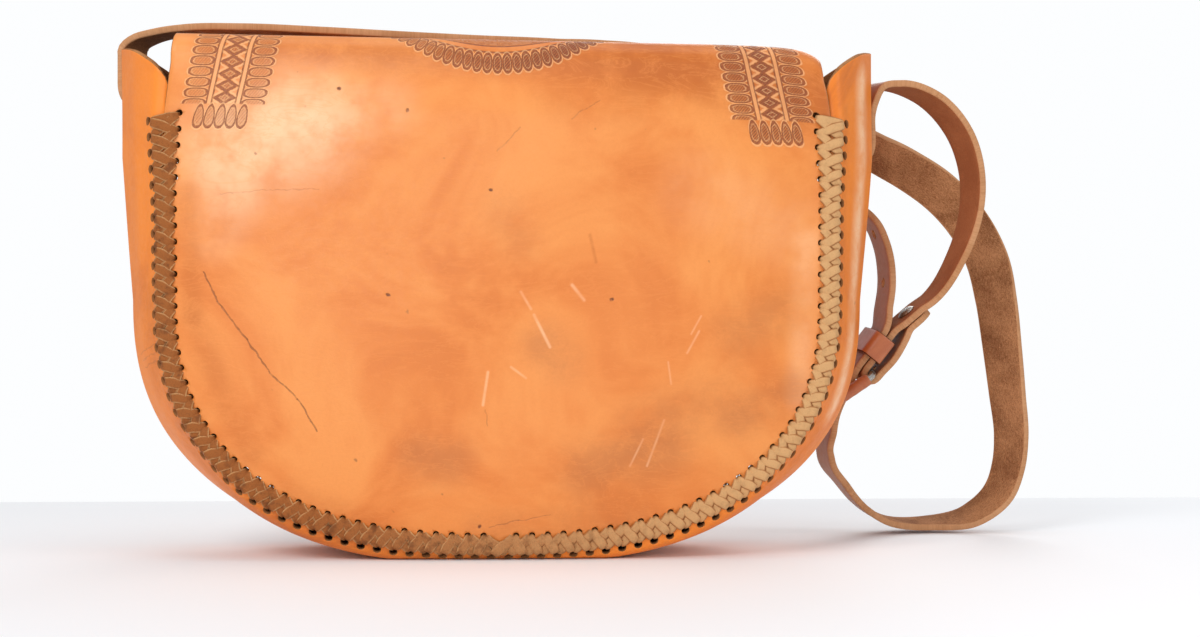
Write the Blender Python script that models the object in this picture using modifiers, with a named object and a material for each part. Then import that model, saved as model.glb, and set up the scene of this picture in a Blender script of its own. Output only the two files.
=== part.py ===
"""Laced leather shoulder bag with a fold-over flap, a buckled strap and V-folded gusset ears.

Metres, +Z up. The bag stands on the flat of its gusset, whose centre is the origin.
The plain back panel faces -Y and the flap covers the front, at +Y.
"""

import math

import bmesh
import bpy
from mathutils import Matrix, Vector

MM = 0.001

# Leather and running clearances
PANEL_LEATHER = 2.8 * MM
GUSSET_LEATHER = 2.6 * MM
STRAP_LEATHER = 3.0 * MM
KEEPER_LEATHER = 1.8 * MM
FIT_GAP = 0.3 * MM
CUT_OVERRUN = 2.0 * MM
WELD = 0.01 * MM
SHARP_ANGLE = math.radians(35.0)

# Bag body: the seam and the outer crease both follow a rounded U
HALF_DEPTH = 38.0 * MM
SEAM_HALF_WIDTH = 140.0 * MM
SEAM_FLARE = 0.5 * MM
SEAM_BOTTOM = 6.5 * MM
SEAM_TOP = 188.0 * MM
GUSSET_SPREAD = 20.0 * MM
CREASE_HALF_WIDTH = SEAM_HALF_WIDTH + GUSSET_SPREAD
CREASE_FLARE = 5.0 * MM
CREASE_UNDERCUT = 2.5 * MM
CREASE_BOTTOM = 0.0 * MM
CORNER_CENTRE = 110.0 * MM
FLARE_MARGIN = 16.0 * MM
FLARE_TOP = SEAM_TOP - FLARE_MARGIN
EAR_EDGE_RISE = 11.0 * MM
EAR_RISE = 31.0 * MM
EAR_PEAK = SEAM_TOP + EAR_RISE
U_POWER = 2.4
EAR_POWER = 1.5
EAR_EDGE_POWER = 4.0
ARC_STEPS = 28
SEAM_FINE_STEPS = 12

# Panels and fold
PILLOW = 7.0 * MM
PILLOW_POWER = 6.0
FOLD_PILLOW = 3.0 * MM
FOLD_RISE = 21.0 * MM
FOLD_HEIGHT = SEAM_TOP + FOLD_RISE
FOLD_DRAW_IN = 3.0 * MM
FOLD_HALF_WIDTH = SEAM_HALF_WIDTH - FOLD_DRAW_IN
FOLD_STRAIGHT = 1.5 * MM
FOLD_ROLL = 9.5 * MM
FOLD_BLEND_DEPTH = 23.0 * MM
FOLD_BLEND_START = FOLD_HEIGHT - FOLD_BLEND_DEPTH
FOLD_BLEND_MARGIN = 2.5 * MM
FOLD_BLEND_END = FOLD_HEIGHT - FOLD_BLEND_MARGIN
FOLD_FALL = 4.2 * MM
FRONT_DROP = 13.0 * MM
FRONT_TOP = FOLD_HEIGHT - FRONT_DROP
PANEL_ROW_shares = (1.0, 0.93, 0.85, 0.78, 0.52, 0.26)
PANEL_RING_shares = (1.0, 0.985, 0.96, 0.91, 0.82, 0.66, 0.4, 0.0)

# Flap
FLAP_INSET = 6.5 * MM
FLAP_HALF_WIDTH = SEAM_HALF_WIDTH - FLAP_INSET
FLAP_STAND_OFF = 1.0 * MM
FLAP_TOP_FALL = 3.0 * MM
FLAP_FRONT_ROLL = 13.0 * MM
FLAP_BOTTOM = 32.0 * MM
FLAP_COLUMN_STEPS = 20
FLAP_TOP_shares = (0.25, 0.5, 0.75)
FLAP_DROP_shares = (0.1, 0.25, 0.42, 0.58, 0.72, 0.84, 0.92, 0.97, 1.0)
ROLL_STEPS = 6

# Gusset section from the seam (0, 0) to the crease (1, 1): inward share, outward share
SIDE_SECTION_shares = ((0.0, 0.0), (0.0, 0.17), (0.07, 0.26), (0.42, 0.62), (1.0, 1.0))
FLOOR_SECTION_shares = ((0.0, 0.0), (0.0, 0.5), (0.06, 0.88), (0.15, 1.0), (1.0, 1.0))
EAR_ROW_shares = (1.0, 0.8, 0.55, 0.28, 0.0)
SIDE_ROW_shares = (0.66, 0.33)
FLOOR_FLAT_ANGLE = math.radians(14.0)
FLOOR_BLEND_ANGLE = math.radians(62.0)

# Lacing over the two seams
LACE_PITCH = 6.7 * MM
LACE_STRAND = 2.6 * MM
LACE_THICKNESS = 1.5 * MM
LACE_SWING = 2.3 * MM
LACE_LIFT = 0.5 * MM

# Straps
STRAP_WIDTH = 20.0 * MM
ROUTE_SPAN = SEAM_HALF_WIDTH
ROUTE_DEPTH = HALF_DEPTH
ROUTE_HEIGHT = EAR_PEAK
STATION_PITCH = 5.0 * MM
MOST_SUBSTEPS = 3
LONG_END_LAP = 21.2 * MM
SHORT_END_LAP = 20.0 * MM
LONG_STRAP_DROP = 22.0 * MM
LONG_STRAP_FOOT = EAR_PEAK - LONG_STRAP_DROP
SHORT_STRAP_DROP = 46.0 * MM
SHORT_STRAP_FOOT = EAR_PEAK - SHORT_STRAP_DROP
LONG_LAP_shares = (0.0, 0.45, 0.85, 1.0)
SHORT_LAP_shares = (0.0, 0.5, 1.0)
TIP_WIDTH_shares = (0.42, 0.78, 0.95, 1.0)
TIP_PLACE_shares = (0.0, 0.16, 0.5, 1.0)
TIP_LENGTH_share = 0.4
TIP_REST_share = 1.2

# Buckle, in its own axes: along the strap towards the bag's ear, across it, and out of its face
BUCKLE_X_share = 1.2015
BUCKLE_Y_share = 0.9185
BUCKLE_Z_share = 0.3535
BUCKLE_ALONG_shares = (0.61, 0.0, 0.793)
BUCKLE_ACROSS_shares = (-0.1, 0.99, 0.07)
BUCKLE_WIRE = 1.6 * MM
BUCKLE_COVER = 2.8 * MM
BUCKLE_COVER_WALL = 0.9 * MM
BUCKLE_LENGTH = 22.0 * MM
BUCKLE_INSIDE_WIDTH = 22.0 * MM
BUCKLE_CORNER = 3.4 * MM
BUCKLE_TILT = math.radians(19.0)
UNDER_BAR_share = 1.22
GATE_PLACE_share = 0.62
GATE_DEPTH_share = 0.05
FRAME_CORNER_STEPS = 4
BAR_SIDES = 2
PRONG_WIRE = 1.0 * MM
PRONG_EYE_START = math.radians(340.0)
PRONG_EYE_STEPS = 8
PRONG_FINGER_shares = (0.35, 0.7, 1.0)
RIVET_STATION = 32.3 * MM
LAP_HALF = 4.6 * MM
LAP_PLACE_shares = (-1.0, -0.5, 0.5, 1.0)
WRAP_STEPS = 6
LAP_OUT = 0.6 * MM
LAP_LEAN = 0.22
LAP_GAP = 0.45 * MM
FOLD_BACK_END = 39.6 * MM
KEEPER_STATION = 11.3 * MM
TAIL_PLACE_shares = (0.5, 1.0)
TAIL_EXIT_share = 1.75
MAIN_FACE_shares = ((2.05, 0.93), (1.6, 1.0), (1.0, 1.0), (0.25, 1.0), (0.0, 1.0))
BACK_FACE_shares = ((0.0, 1.0), (0.25, 1.05), (1.0, 1.3), (2.0, 0.87))
KEEPER_BAND = 12.0 * MM
KEEPER_CORNER = 1.2 * MM
KEEPER_CORNER_STEPS = 3
KEEPER_TURN_shares = (-0.5, 0.0, 0.5, 1.0)

# Rivets and punched holes
RIVET_CAP = 4.2 * MM
RIVET_CAP_HEIGHT = 1.4 * MM
RIVET_DOME_shares = ((0.0, 1.0), (0.5, 0.86), (0.85, 0.45), (1.0, 0.0))
RIVET_BURR_shares = ((0.9, 0.0), (0.9, -0.5), (0.6, -0.75), (0.0, -0.75))
RIVET_SHANK = 1.5 * MM
RIVET_HOLE = 1.9 * MM
RIVET_INSET = 5.0 * MM
RIVET_PITCH = 9.0 * MM
HOLE_RADIUS = 2.2 * MM
HOLE_PITCH = 25.0 * MM
HOLE_COUNT = 2
PRONG_HOLE_LENGTH = 10.0 * MM
SLOT_WIDTH = 3.4 * MM

# Closing stud
STUD_HEIGHT = 62.0 * MM
STUD_BALL = 3.3 * MM
STUD_BALL_TURN_shares = (0.333, 0.167, 0.0, -0.167)
STUD_RISE_share = 1.6
STUD_NECK_share = 0.75
STUD_NECK = 1.7 * MM
STUD_FOOT = 4.0 * MM
STUD_FOOT_HEIGHT = 0.5 * MM
STUD_SLOT_LENGTH = 12.5 * MM
STUD_SLOT_WIDTH = 7.6 * MM
SCREW_HEAD = 4.6 * MM
SCREW_HEAD_HEIGHT = 1.2 * MM
SCREW_SHANK = 1.0 * MM
SCREW_HEAD_shares = ((1.0, 0.0), (1.0, 0.6), (0.75, 1.0), (0.0, 1.0))
ROUND_STEPS = 16

FOLD_SLOPE = -FOLD_FALL / (2.0 * SEAM_HALF_WIDTH)


def material(name, colour, roughness, metallic=0.0):
    made = bpy.data.materials.new(name)
    made.use_nodes = True
    shader = made.node_tree.nodes["Principled BSDF"]
    shader.inputs["Base Color"].default_value = (*colour, 1.0)
    shader.inputs["Roughness"].default_value = roughness
    shader.inputs["Metallic"].default_value = metallic
    return made


def clear_scene():
    for old in list(bpy.data.objects):
        bpy.data.objects.remove(old, do_unlink=True)


def collection(name):
    made = bpy.data.collections.new(name)
    bpy.context.scene.collection.children.link(made)
    return made


def add_object(name, mesh, group, finish=None, parent=None):
    made = bpy.data.objects.new(name, mesh)
    group.objects.link(made)
    if finish is not None:
        mesh.materials.clear()
        mesh.materials.append(finish)
    if parent is not None:
        made.parent = parent
        made.matrix_parent_inverse = parent.matrix_world.inverted()
    return made


def set_origin(part, point):
    """Move an object's origin to a point without moving its surface."""
    part.data.transform(Matrix.Translation(-point))
    part.matrix_world = Matrix.Translation(point)


def grid_mesh(name, rows):
    """An open surface through rows of points, as quads."""
    shape = bmesh.new()
    made = [[shape.verts.new(point) for point in row] for row in rows]
    for lower, upper in zip(made, made[1:]):
        for k in range(len(lower) - 1):
            shape.faces.new((lower[k], lower[k + 1], upper[k + 1], upper[k]))
    bmesh.ops.remove_doubles(shape, verts=shape.verts, dist=WELD)
    mesh = bpy.data.meshes.new(name)
    shape.to_mesh(mesh)
    shape.free()
    mesh.shade_smooth()
    mesh.set_sharp_from_angle(angle=SHARP_ANGLE)
    return mesh


def thicken(part, thickness, side):
    """Solidify: side -1 grows against the surface's normals, +1 along them, 0 both ways."""
    skin = part.modifiers.new("leather", "SOLIDIFY")
    skin.thickness = thickness
    skin.offset = side
    skin.use_even_offset = True
    return skin


def cut(part, cutter):
    hole = part.modifiers.new("cut", "BOOLEAN")
    hole.operation = "DIFFERENCE"
    hole.solver = "EXACT"
    hole.object = cutter


def frame_matrix(origin, along, across):
    """Axes for a piece: x along, y across, z out of the face."""
    x = Vector(along).normalized()
    z = x.cross(Vector(across)).normalized()
    y = z.cross(x)
    matrix = Matrix((x, y, z)).transposed().to_4x4()
    matrix.translation = origin
    return matrix


def cutter_object(name, mesh, group, matrix):
    made = add_object(name, mesh, group)
    made.matrix_world = matrix
    made.hide_render = True
    made.display_type = "WIRE"
    return made


def round_cutter(name, group, centre, axis, radius, reach):
    """A cylinder for a punched hole, reaching the same way to both sides."""
    shape = bmesh.new()
    bmesh.ops.create_cone(shape, cap_ends=True, segments=ROUND_STEPS, radius1=radius, radius2=radius, depth=2 * reach)
    mesh = bpy.data.meshes.new(name)
    shape.to_mesh(mesh)
    shape.free()
    turn = Vector((0, 0, 1)).rotation_difference(Vector(axis)).to_matrix().to_4x4()
    turn.translation = centre
    return cutter_object(name, mesh, group, turn)


def slot_cutter(name, group, matrix, length, width, reach):
    """A round-ended slot, long in the matrix's x and cut along its z."""
    shape = bmesh.new()
    half_run = max(length / 2 - width / 2, 0.0)
    outline = []
    for k in range(ROUND_STEPS):
        angle = 2 * math.pi * (k + 0.5) / ROUND_STEPS
        shift = math.copysign(half_run, math.cos(angle))
        outline.append((shift + math.cos(angle) * width / 2, math.sin(angle) * width / 2))
    low = [shape.verts.new((x, y, -reach)) for x, y in outline]
    face = shape.faces.new(low)
    grown = bmesh.ops.extrude_face_region(shape, geom=[face])
    tops = [item for item in grown["geom"] if isinstance(item, bmesh.types.BMVert)]
    bmesh.ops.translate(shape, verts=tops, vec=(0, 0, 2 * reach))
    bmesh.ops.recalc_face_normals(shape, faces=shape.faces)
    mesh = bpy.data.meshes.new(name)
    shape.to_mesh(mesh)
    shape.free()
    return cutter_object(name, mesh, group, matrix)


def turned(name, group, profile, finish, matrix, parent=None):
    """A turned piece: the profile's (radius, height) pairs run top to bottom."""
    mesh = bpy.data.meshes.new(name)
    points = [(radius, 0.0, height) for radius, height in profile]
    mesh.from_pydata(points, [(k, k + 1) for k in range(len(points) - 1)], [])
    made = add_object(name, mesh, group, finish)
    spin = made.modifiers.new("turn", "SCREW")
    spin.angle = 2 * math.pi
    spin.steps = ROUND_STEPS
    spin.render_steps = ROUND_STEPS
    spin.use_merge_vertices = True
    spin.merge_threshold = WELD
    made.matrix_world = matrix
    if parent is not None:
        made.parent = parent
        made.matrix_parent_inverse = parent.matrix_world.inverted()
    return made


def tube_mesh(name, points, radius, closed, capped, sides):
    """A round bar along points, returned as one welded mesh."""
    curve = bpy.data.curves.new(name, "CURVE")
    curve.dimensions = "3D"
    curve.bevel_depth = radius
    curve.bevel_resolution = sides
    curve.use_fill_caps = capped
    line = curve.splines.new("POLY")
    line.points.add(len(points) - 1)
    for target, point in zip(line.points, points):
        target.co = (*point, 1.0)
    line.use_cyclic_u = closed
    guide = bpy.data.objects.new(name, curve)
    bpy.context.scene.collection.objects.link(guide)
    bpy.context.view_layer.update()
    evaluated = guide.evaluated_get(bpy.context.evaluated_depsgraph_get())
    mesh = bpy.data.meshes.new_from_object(evaluated)
    shape = bmesh.new()
    shape.from_mesh(mesh)
    bmesh.ops.remove_doubles(shape, verts=shape.verts, dist=WELD)
    shape.to_mesh(mesh)
    shape.free()
    bpy.data.objects.remove(guide, do_unlink=True)
    mesh.shade_smooth()
    mesh.set_sharp_from_angle(angle=SHARP_ANGLE)
    return mesh


def smoothstep(value, start, end):
    t = min(max((value - start) / (end - start), 0.0), 1.0)
    return t * t * (3.0 - 2.0 * t)


# The bag's surfaces

def u_point(angle, half_width, bottom):
    """A point on a rounded U: angle 0 is its right side, pi/2 its bottom, pi its left side."""
    power = 2.0 / U_POWER
    x = half_width * math.copysign(abs(math.cos(angle)) ** power, math.cos(angle))
    z = CORNER_CENTRE - (CORNER_CENTRE - bottom) * math.sin(angle) ** power
    return x, z


def seam_half_width(z):
    """Half width of the panels above the rounded corners: flared, then drawn in to the fold."""
    flare = SEAM_FLARE * min(max((z - CORNER_CENTRE) / (SEAM_TOP - CORNER_CENTRE), 0.0), 1.0)
    width = SEAM_HALF_WIDTH + flare
    if z > SEAM_TOP:
        drawn = min((z - SEAM_TOP) / (FOLD_HEIGHT - SEAM_TOP), 1.0)
        width += (FOLD_HALF_WIDTH - width) * drawn
    return width


def pillow(x, z):
    """How far a panel swells out over the seam's plane."""
    across = abs(x) / seam_half_width(z)
    down = max(CORNER_CENTRE - z, 0.0) / (CORNER_CENTRE - SEAM_BOTTOM)
    near_edge = min((across ** U_POWER + down ** U_POWER) ** (1.0 / U_POWER), 1.0)
    swell = PILLOW * (1.0 - near_edge ** PILLOW_POWER)
    level = z - FOLD_SLOPE * x
    blend = smoothstep(level, FOLD_BLEND_START, FOLD_BLEND_END)
    return swell + (FOLD_PILLOW - swell) * blend


def panel_rows(side, top, fold_slope):
    """Rows of a panel's outer surface round the U, each from the seam to the middle line."""
    across = 1.0 - FIT_GAP / SEAM_HALF_WIDTH

    def upper_row(side_sign, share, rise):
        row = []
        for ring in PANEL_RING_shares:
            x = side_sign * SEAM_HALF_WIDTH * across * ring
            high = top - FOLD_STRAIGHT + fold_slope * x
            z = CORNER_CENTRE + (high - CORNER_CENTRE) * share
            x *= seam_half_width(z) / SEAM_HALF_WIDTH
            row.append((x, side * (HALF_DEPTH + pillow(x, z)), z + rise))
        return row

    rows = [upper_row(-1, 1.0, FOLD_STRAIGHT)]
    rows += [upper_row(-1, share, 0.0) for share in PANEL_ROW_shares]
    for k in range(ARC_STEPS + 1):
        edge_x, edge_z = u_point(math.pi * (1.0 - k / ARC_STEPS), SEAM_HALF_WIDTH - FIT_GAP, SEAM_BOTTOM + FIT_GAP)
        row = []
        for ring in PANEL_RING_shares:
            x = edge_x * ring
            z = CORNER_CENTRE + (edge_z - CORNER_CENTRE) * ring
            row.append((x, side * (HALF_DEPTH + pillow(x, z)), z))
        rows.append(row)
    rows += [upper_row(1, share, 0.0) for share in reversed(PANEL_ROW_shares)]
    rows.append(upper_row(1, 1.0, FOLD_STRAIGHT))
    return rows


def crease_half_width(z):
    return CREASE_HALF_WIDTH + CREASE_FLARE * min(max((z - CORNER_CENTRE) / (FLARE_TOP - CORNER_CENTRE), 0.0), 1.0)


def section_shares(floor_weight):
    """The gusset's section from seam to crease to seam, as signed depth and outward shares."""
    half = []
    for side_pair, floor_pair in zip(SIDE_SECTION_shares, FLOOR_SECTION_shares):
        inward = side_pair[0] + (floor_pair[0] - side_pair[0]) * floor_weight
        outward = side_pair[1] + (floor_pair[1] - side_pair[1]) * floor_weight
        half.append((inward - 1.0, outward))
    return half + [(-depth, outward) for depth, outward in reversed(half[:-1])]


def ear_top(outward):
    """Height of an ear's rounded top edge, by its place between seam and crease."""
    rise = (1.0 - (1.0 - outward) ** EAR_POWER) ** (1.0 / EAR_POWER)
    edge = SEAM_TOP + EAR_EDGE_RISE
    return edge + (EAR_PEAK - edge) * rise


def gusset_side_row(side, share, upper):
    row = []
    for depth, outward in section_shares(0.0):
        if upper:
            z = FLARE_TOP + (ear_top(outward) - FLARE_TOP) * share
        else:
            z = CORNER_CENTRE + (FLARE_TOP - CORNER_CENTRE) * share
        seam = seam_half_width(min(z, SEAM_TOP))
        drawn = (seam_half_width(z) - seam) * (1.0 - outward) ** EAR_EDGE_POWER
        x = seam + (crease_half_width(z) - seam) * outward + drawn
        row.append((side * x, depth * HALF_DEPTH, z))
    return row


def gusset_arc_row(angle):
    from_bottom = abs(angle - math.pi / 2)
    weight = 1.0 - smoothstep(from_bottom, FLOOR_FLAT_ANGLE, FLOOR_BLEND_ANGLE)
    seam_x, seam_z = u_point(angle, SEAM_HALF_WIDTH, SEAM_BOTTOM)
    crease_x, crease_z = u_point(angle, CREASE_HALF_WIDTH, CREASE_BOTTOM - CREASE_UNDERCUT)
    crease_z = max(crease_z, CREASE_BOTTOM)
    row = []
    for depth, outward in section_shares(weight):
        x = seam_x + (crease_x - seam_x) * outward
        z = seam_z + (crease_z - seam_z) * outward
        row.append((x, depth * HALF_DEPTH, z))
    return row


def gusset_rows():
    """Rows across the strip, from the left ear's top round the U to the right ear's top."""
    rows = [gusset_side_row(-1, share, True) for share in EAR_ROW_shares]
    rows += [gusset_side_row(-1, share, False) for share in SIDE_ROW_shares]
    rows += [gusset_arc_row(math.pi * (1.0 - k / ARC_STEPS)) for k in range(ARC_STEPS + 1)]
    rows += [gusset_side_row(1, share, False) for share in reversed(SIDE_ROW_shares)]
    rows += [gusset_side_row(1, share, True) for share in reversed(EAR_ROW_shares)]
    return rows


def flap_section():
    """The flap's outer path over the top of the bag, as (y, z), before it drops down the front."""
    back = HALF_DEPTH + FOLD_PILLOW
    start = FOLD_HEIGHT + FIT_GAP
    roll_y = -back + FOLD_ROLL
    roll_z = start + FOLD_STRAIGHT
    front = HALF_DEPTH + FOLD_PILLOW + FLAP_STAND_OFF + PANEL_LEATHER
    front_y = front - FLAP_FRONT_ROLL
    front_z = roll_z + FOLD_ROLL - FLAP_TOP_FALL - FLAP_FRONT_ROLL
    path = [(-back, start)]
    for k in range(ROLL_STEPS + 1):
        angle = math.pi - math.pi / 2 * k / ROLL_STEPS
        path.append((roll_y + FOLD_ROLL * math.cos(angle), roll_z + FOLD_ROLL * math.sin(angle)))
    crest_y, crest_z = path[-1]
    for share in FLAP_TOP_shares:
        fall = FLAP_TOP_FALL * smoothstep(share, 0.0, 1.0)
        path.append((crest_y + (front_y - crest_y) * share, crest_z - fall))
    for k in range(ROLL_STEPS + 1):
        angle = math.pi / 2 * (1.0 - k / ROLL_STEPS)
        path.append((front_y + FLAP_FRONT_ROLL * math.cos(angle), front_z + FLAP_FRONT_ROLL * math.sin(angle)))
    return path


def flap_drop_y(x, z):
    return HALF_DEPTH + pillow(x, z) + FLAP_STAND_OFF + PANEL_LEATHER


def flap_rows():
    angles = [math.pi * (1.0 - k / FLAP_COLUMN_STEPS) for k in range(FLAP_COLUMN_STEPS + 1)]
    unit = [u_point(angle, 1.0, FLAP_BOTTOM) for angle in angles]
    section = flap_section()
    rows = []
    for k, (y, z) in enumerate(section):
        width = FOLD_HALF_WIDTH + (FLAP_HALF_WIDTH - FOLD_HALF_WIDTH) * k / (len(section) - 1)
        rows.append([(share * width, y, z + FOLD_SLOPE * share * width) for share, low in unit])
    last = rows[-1]
    for drop in FLAP_DROP_shares:
        row = []
        for (x, y, high), (share, low) in zip(last, unit):
            z = high + (low - high) * drop
            row.append((x, flap_drop_y(x, z), z))
        rows.append(row)
    return rows


# Lacing

def seam_path():
    """Points and outward directions along the seam in the XZ plane, left top to right top."""
    points = []
    straight = SEAM_FINE_STEPS * 2
    for k in range(straight):
        z = SEAM_TOP + (CORNER_CENTRE - SEAM_TOP) * k / straight
        points.append(Vector((-seam_half_width(z), 0.0, z)))
    for k in range(SEAM_FINE_STEPS * ARC_STEPS + 1):
        angle = math.pi * (1.0 - k / (SEAM_FINE_STEPS * ARC_STEPS))
        x, z = u_point(angle, SEAM_HALF_WIDTH, SEAM_BOTTOM)
        points.append(Vector((x, 0.0, z)))
    for k in range(1, straight + 1):
        z = CORNER_CENTRE + (SEAM_TOP - CORNER_CENTRE) * k / straight
        points.append(Vector((seam_half_width(z), 0.0, z)))
    return points


def walk(points, spacing):
    """Points at even spacing along a polyline, with the direction there."""
    total = sum((b - a).length for a, b in zip(points, points[1:]))
    count = int(total / spacing)
    step = total / count
    stops = []
    travelled = 0.0
    target = step / 2
    for a, b in zip(points, points[1:]):
        run = (b - a).length
        while target <= travelled + run and len(stops) < count:
            stops.append((a.lerp(b, (target - travelled) / run), (b - a).normalized()))
            target += step
        travelled += run
    return stops


def lace_mesh(name, side):
    """One unbroken flat strand that zigzags over a seam, with mitred turns."""
    slant = math.atan2(LACE_PITCH / 2, 2 * LACE_SWING)
    mitre = LACE_STRAND / 2 / math.sin(slant)
    rows = []
    for k, (point, along) in enumerate(walk(seam_path(), LACE_PITCH / 2)):
        outward = Vector((along.z, 0.0, -along.x))
        if outward.dot(point - Vector((0.0, 0.0, CORNER_CENTRE))) < 0:
            outward = -outward
        swing = -LACE_SWING if k % 2 == 0 else LACE_SWING
        row = []
        for offset in (swing - mitre, swing + mitre):
            spot = point + outward * offset
            rise = pillow(spot.x, spot.z) if offset < 0 else 0.0
            row.append((spot.x, side * (HALF_DEPTH + rise + LACE_LIFT + LACE_THICKNESS / 2), spot.z))
        rows.append(row)
    return grid_mesh(name, rows)


# Straps

def ear_facet(side):
    """Point at the crease, direction across and outward normal of an ear's far facet."""
    seam = seam_half_width(SEAM_TOP)
    crease = seam + (crease_half_width(FLARE_TOP) - seam)
    depth, outward = section_shares(0.0)[-4]
    inner = Vector((side * (seam + (crease - seam) * outward), depth * HALF_DEPTH, 0.0))
    corner = Vector((side * crease, 0.0, 0.0))
    across = (inner - corner).normalized()
    normal = Vector((side * abs(across.y), abs(across.x), 0.0))
    middle = corner + (inner - corner) * 0.5
    return middle, across, normal


def strap_stop(side, height):
    """Centre of a strap end lying on an ear's far facet at a height, and the way across it."""
    middle, across, normal = ear_facet(side)
    centre = middle + normal * (FIT_GAP + STRAP_LEATHER / 2)
    centre.z = height
    return centre, across


def route(shares, across):
    """A strap stop from shares of the bag's span, depth and height."""
    centre = Vector((shares[0] * ROUTE_SPAN, shares[1] * ROUTE_DEPTH, shares[2] * ROUTE_HEIGHT))
    return centre, Vector(across).normalized()


def buckle_axes():
    origin = Vector((BUCKLE_X_share * ROUTE_SPAN, BUCKLE_Y_share * ROUTE_DEPTH, BUCKLE_Z_share * ROUTE_HEIGHT))
    return frame_matrix(origin, BUCKLE_ALONG_shares, BUCKLE_ACROSS_shares)


def buckle_stop(along, out):
    """A strap stop in the buckle's axes."""
    axes = buckle_axes()
    return axes @ Vector((along, 0.0, out)), axes.col[1].to_3d()


def smooth_stops(stops):
    """A smooth run through the stops, with the way across carried along."""
    points = [Vector(centre) for centre, across in stops]
    points = [points[0] * 2 - points[1]] + points + [points[-1] * 2 - points[-2]]
    lengths = [(b - a).length for a, b in zip(points, points[1:])]
    slopes = []
    for k in range(1, len(points) - 1):
        before = (points[k] - points[k - 1]) / lengths[k - 1]
        after = (points[k + 1] - points[k]) / lengths[k]
        slopes.append((before * lengths[k] + after * lengths[k - 1]) / (lengths[k] + lengths[k - 1]))
    made = []
    for k in range(len(stops) - 1):
        a, b, length = points[k + 1], points[k + 2], lengths[k + 1]
        substeps = min(max(round(length / STATION_PITCH), 1), MOST_SUBSTEPS)
        for j in range(substeps):
            t = j / substeps
            eased = t * t * (3 - 2 * t)
            spot = a + (b - a) * eased
            spot = spot + slopes[k] * (length * t * (1 - t) ** 2)
            spot = spot - slopes[k + 1] * (length * t * t * (1 - t))
            across = stops[k][1].lerp(stops[k + 1][1], t).normalized()
            made.append((spot, across))
    made.append((points[-2], stops[-1][1]))
    return made


def square_across(run):
    """Make each stop's across direction square to the run."""
    made = []
    for k, (spot, across) in enumerate(run):
        before = run[max(k - 1, 0)][0]
        after = run[min(k + 1, len(run) - 1)][0]
        along = (after - before).normalized()
        made.append((spot, (across - along * across.dot(along)).normalized()))
    return made


def ribbon_mesh(name, run, width, round_start, round_end):
    rows = []
    count = len(run)
    for k, (spot, across) in enumerate(run):
        share = 1.0
        if round_start and k < len(TIP_WIDTH_shares):
            share = TIP_WIDTH_shares[k]
        if round_end and count - 1 - k < len(TIP_WIDTH_shares):
            share = TIP_WIDTH_shares[count - 1 - k]
        half = across * (width * share / 2)
        rows.append([spot - half, spot, spot + half])
    return grid_mesh(name, rows)


def end_taper(run):
    """Put close stops at a run's start, so that its end can be rounded."""
    first, across = run[0]
    reach = STRAP_WIDTH * TIP_LENGTH_share
    away = (run[1][0] - first).normalized()
    rest = list(run[1:])
    while (rest[0][0] - first).length <= reach * TIP_REST_share:
        rest.pop(0)
    extra = [(first + away * reach * place, across) for place in TIP_PLACE_shares]
    return extra + rest


def both_ends(run):
    """Close stops at both ends of a run."""
    tapered = end_taper(run)
    return square_across(list(reversed(end_taper(list(reversed(tapered))))))


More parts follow.
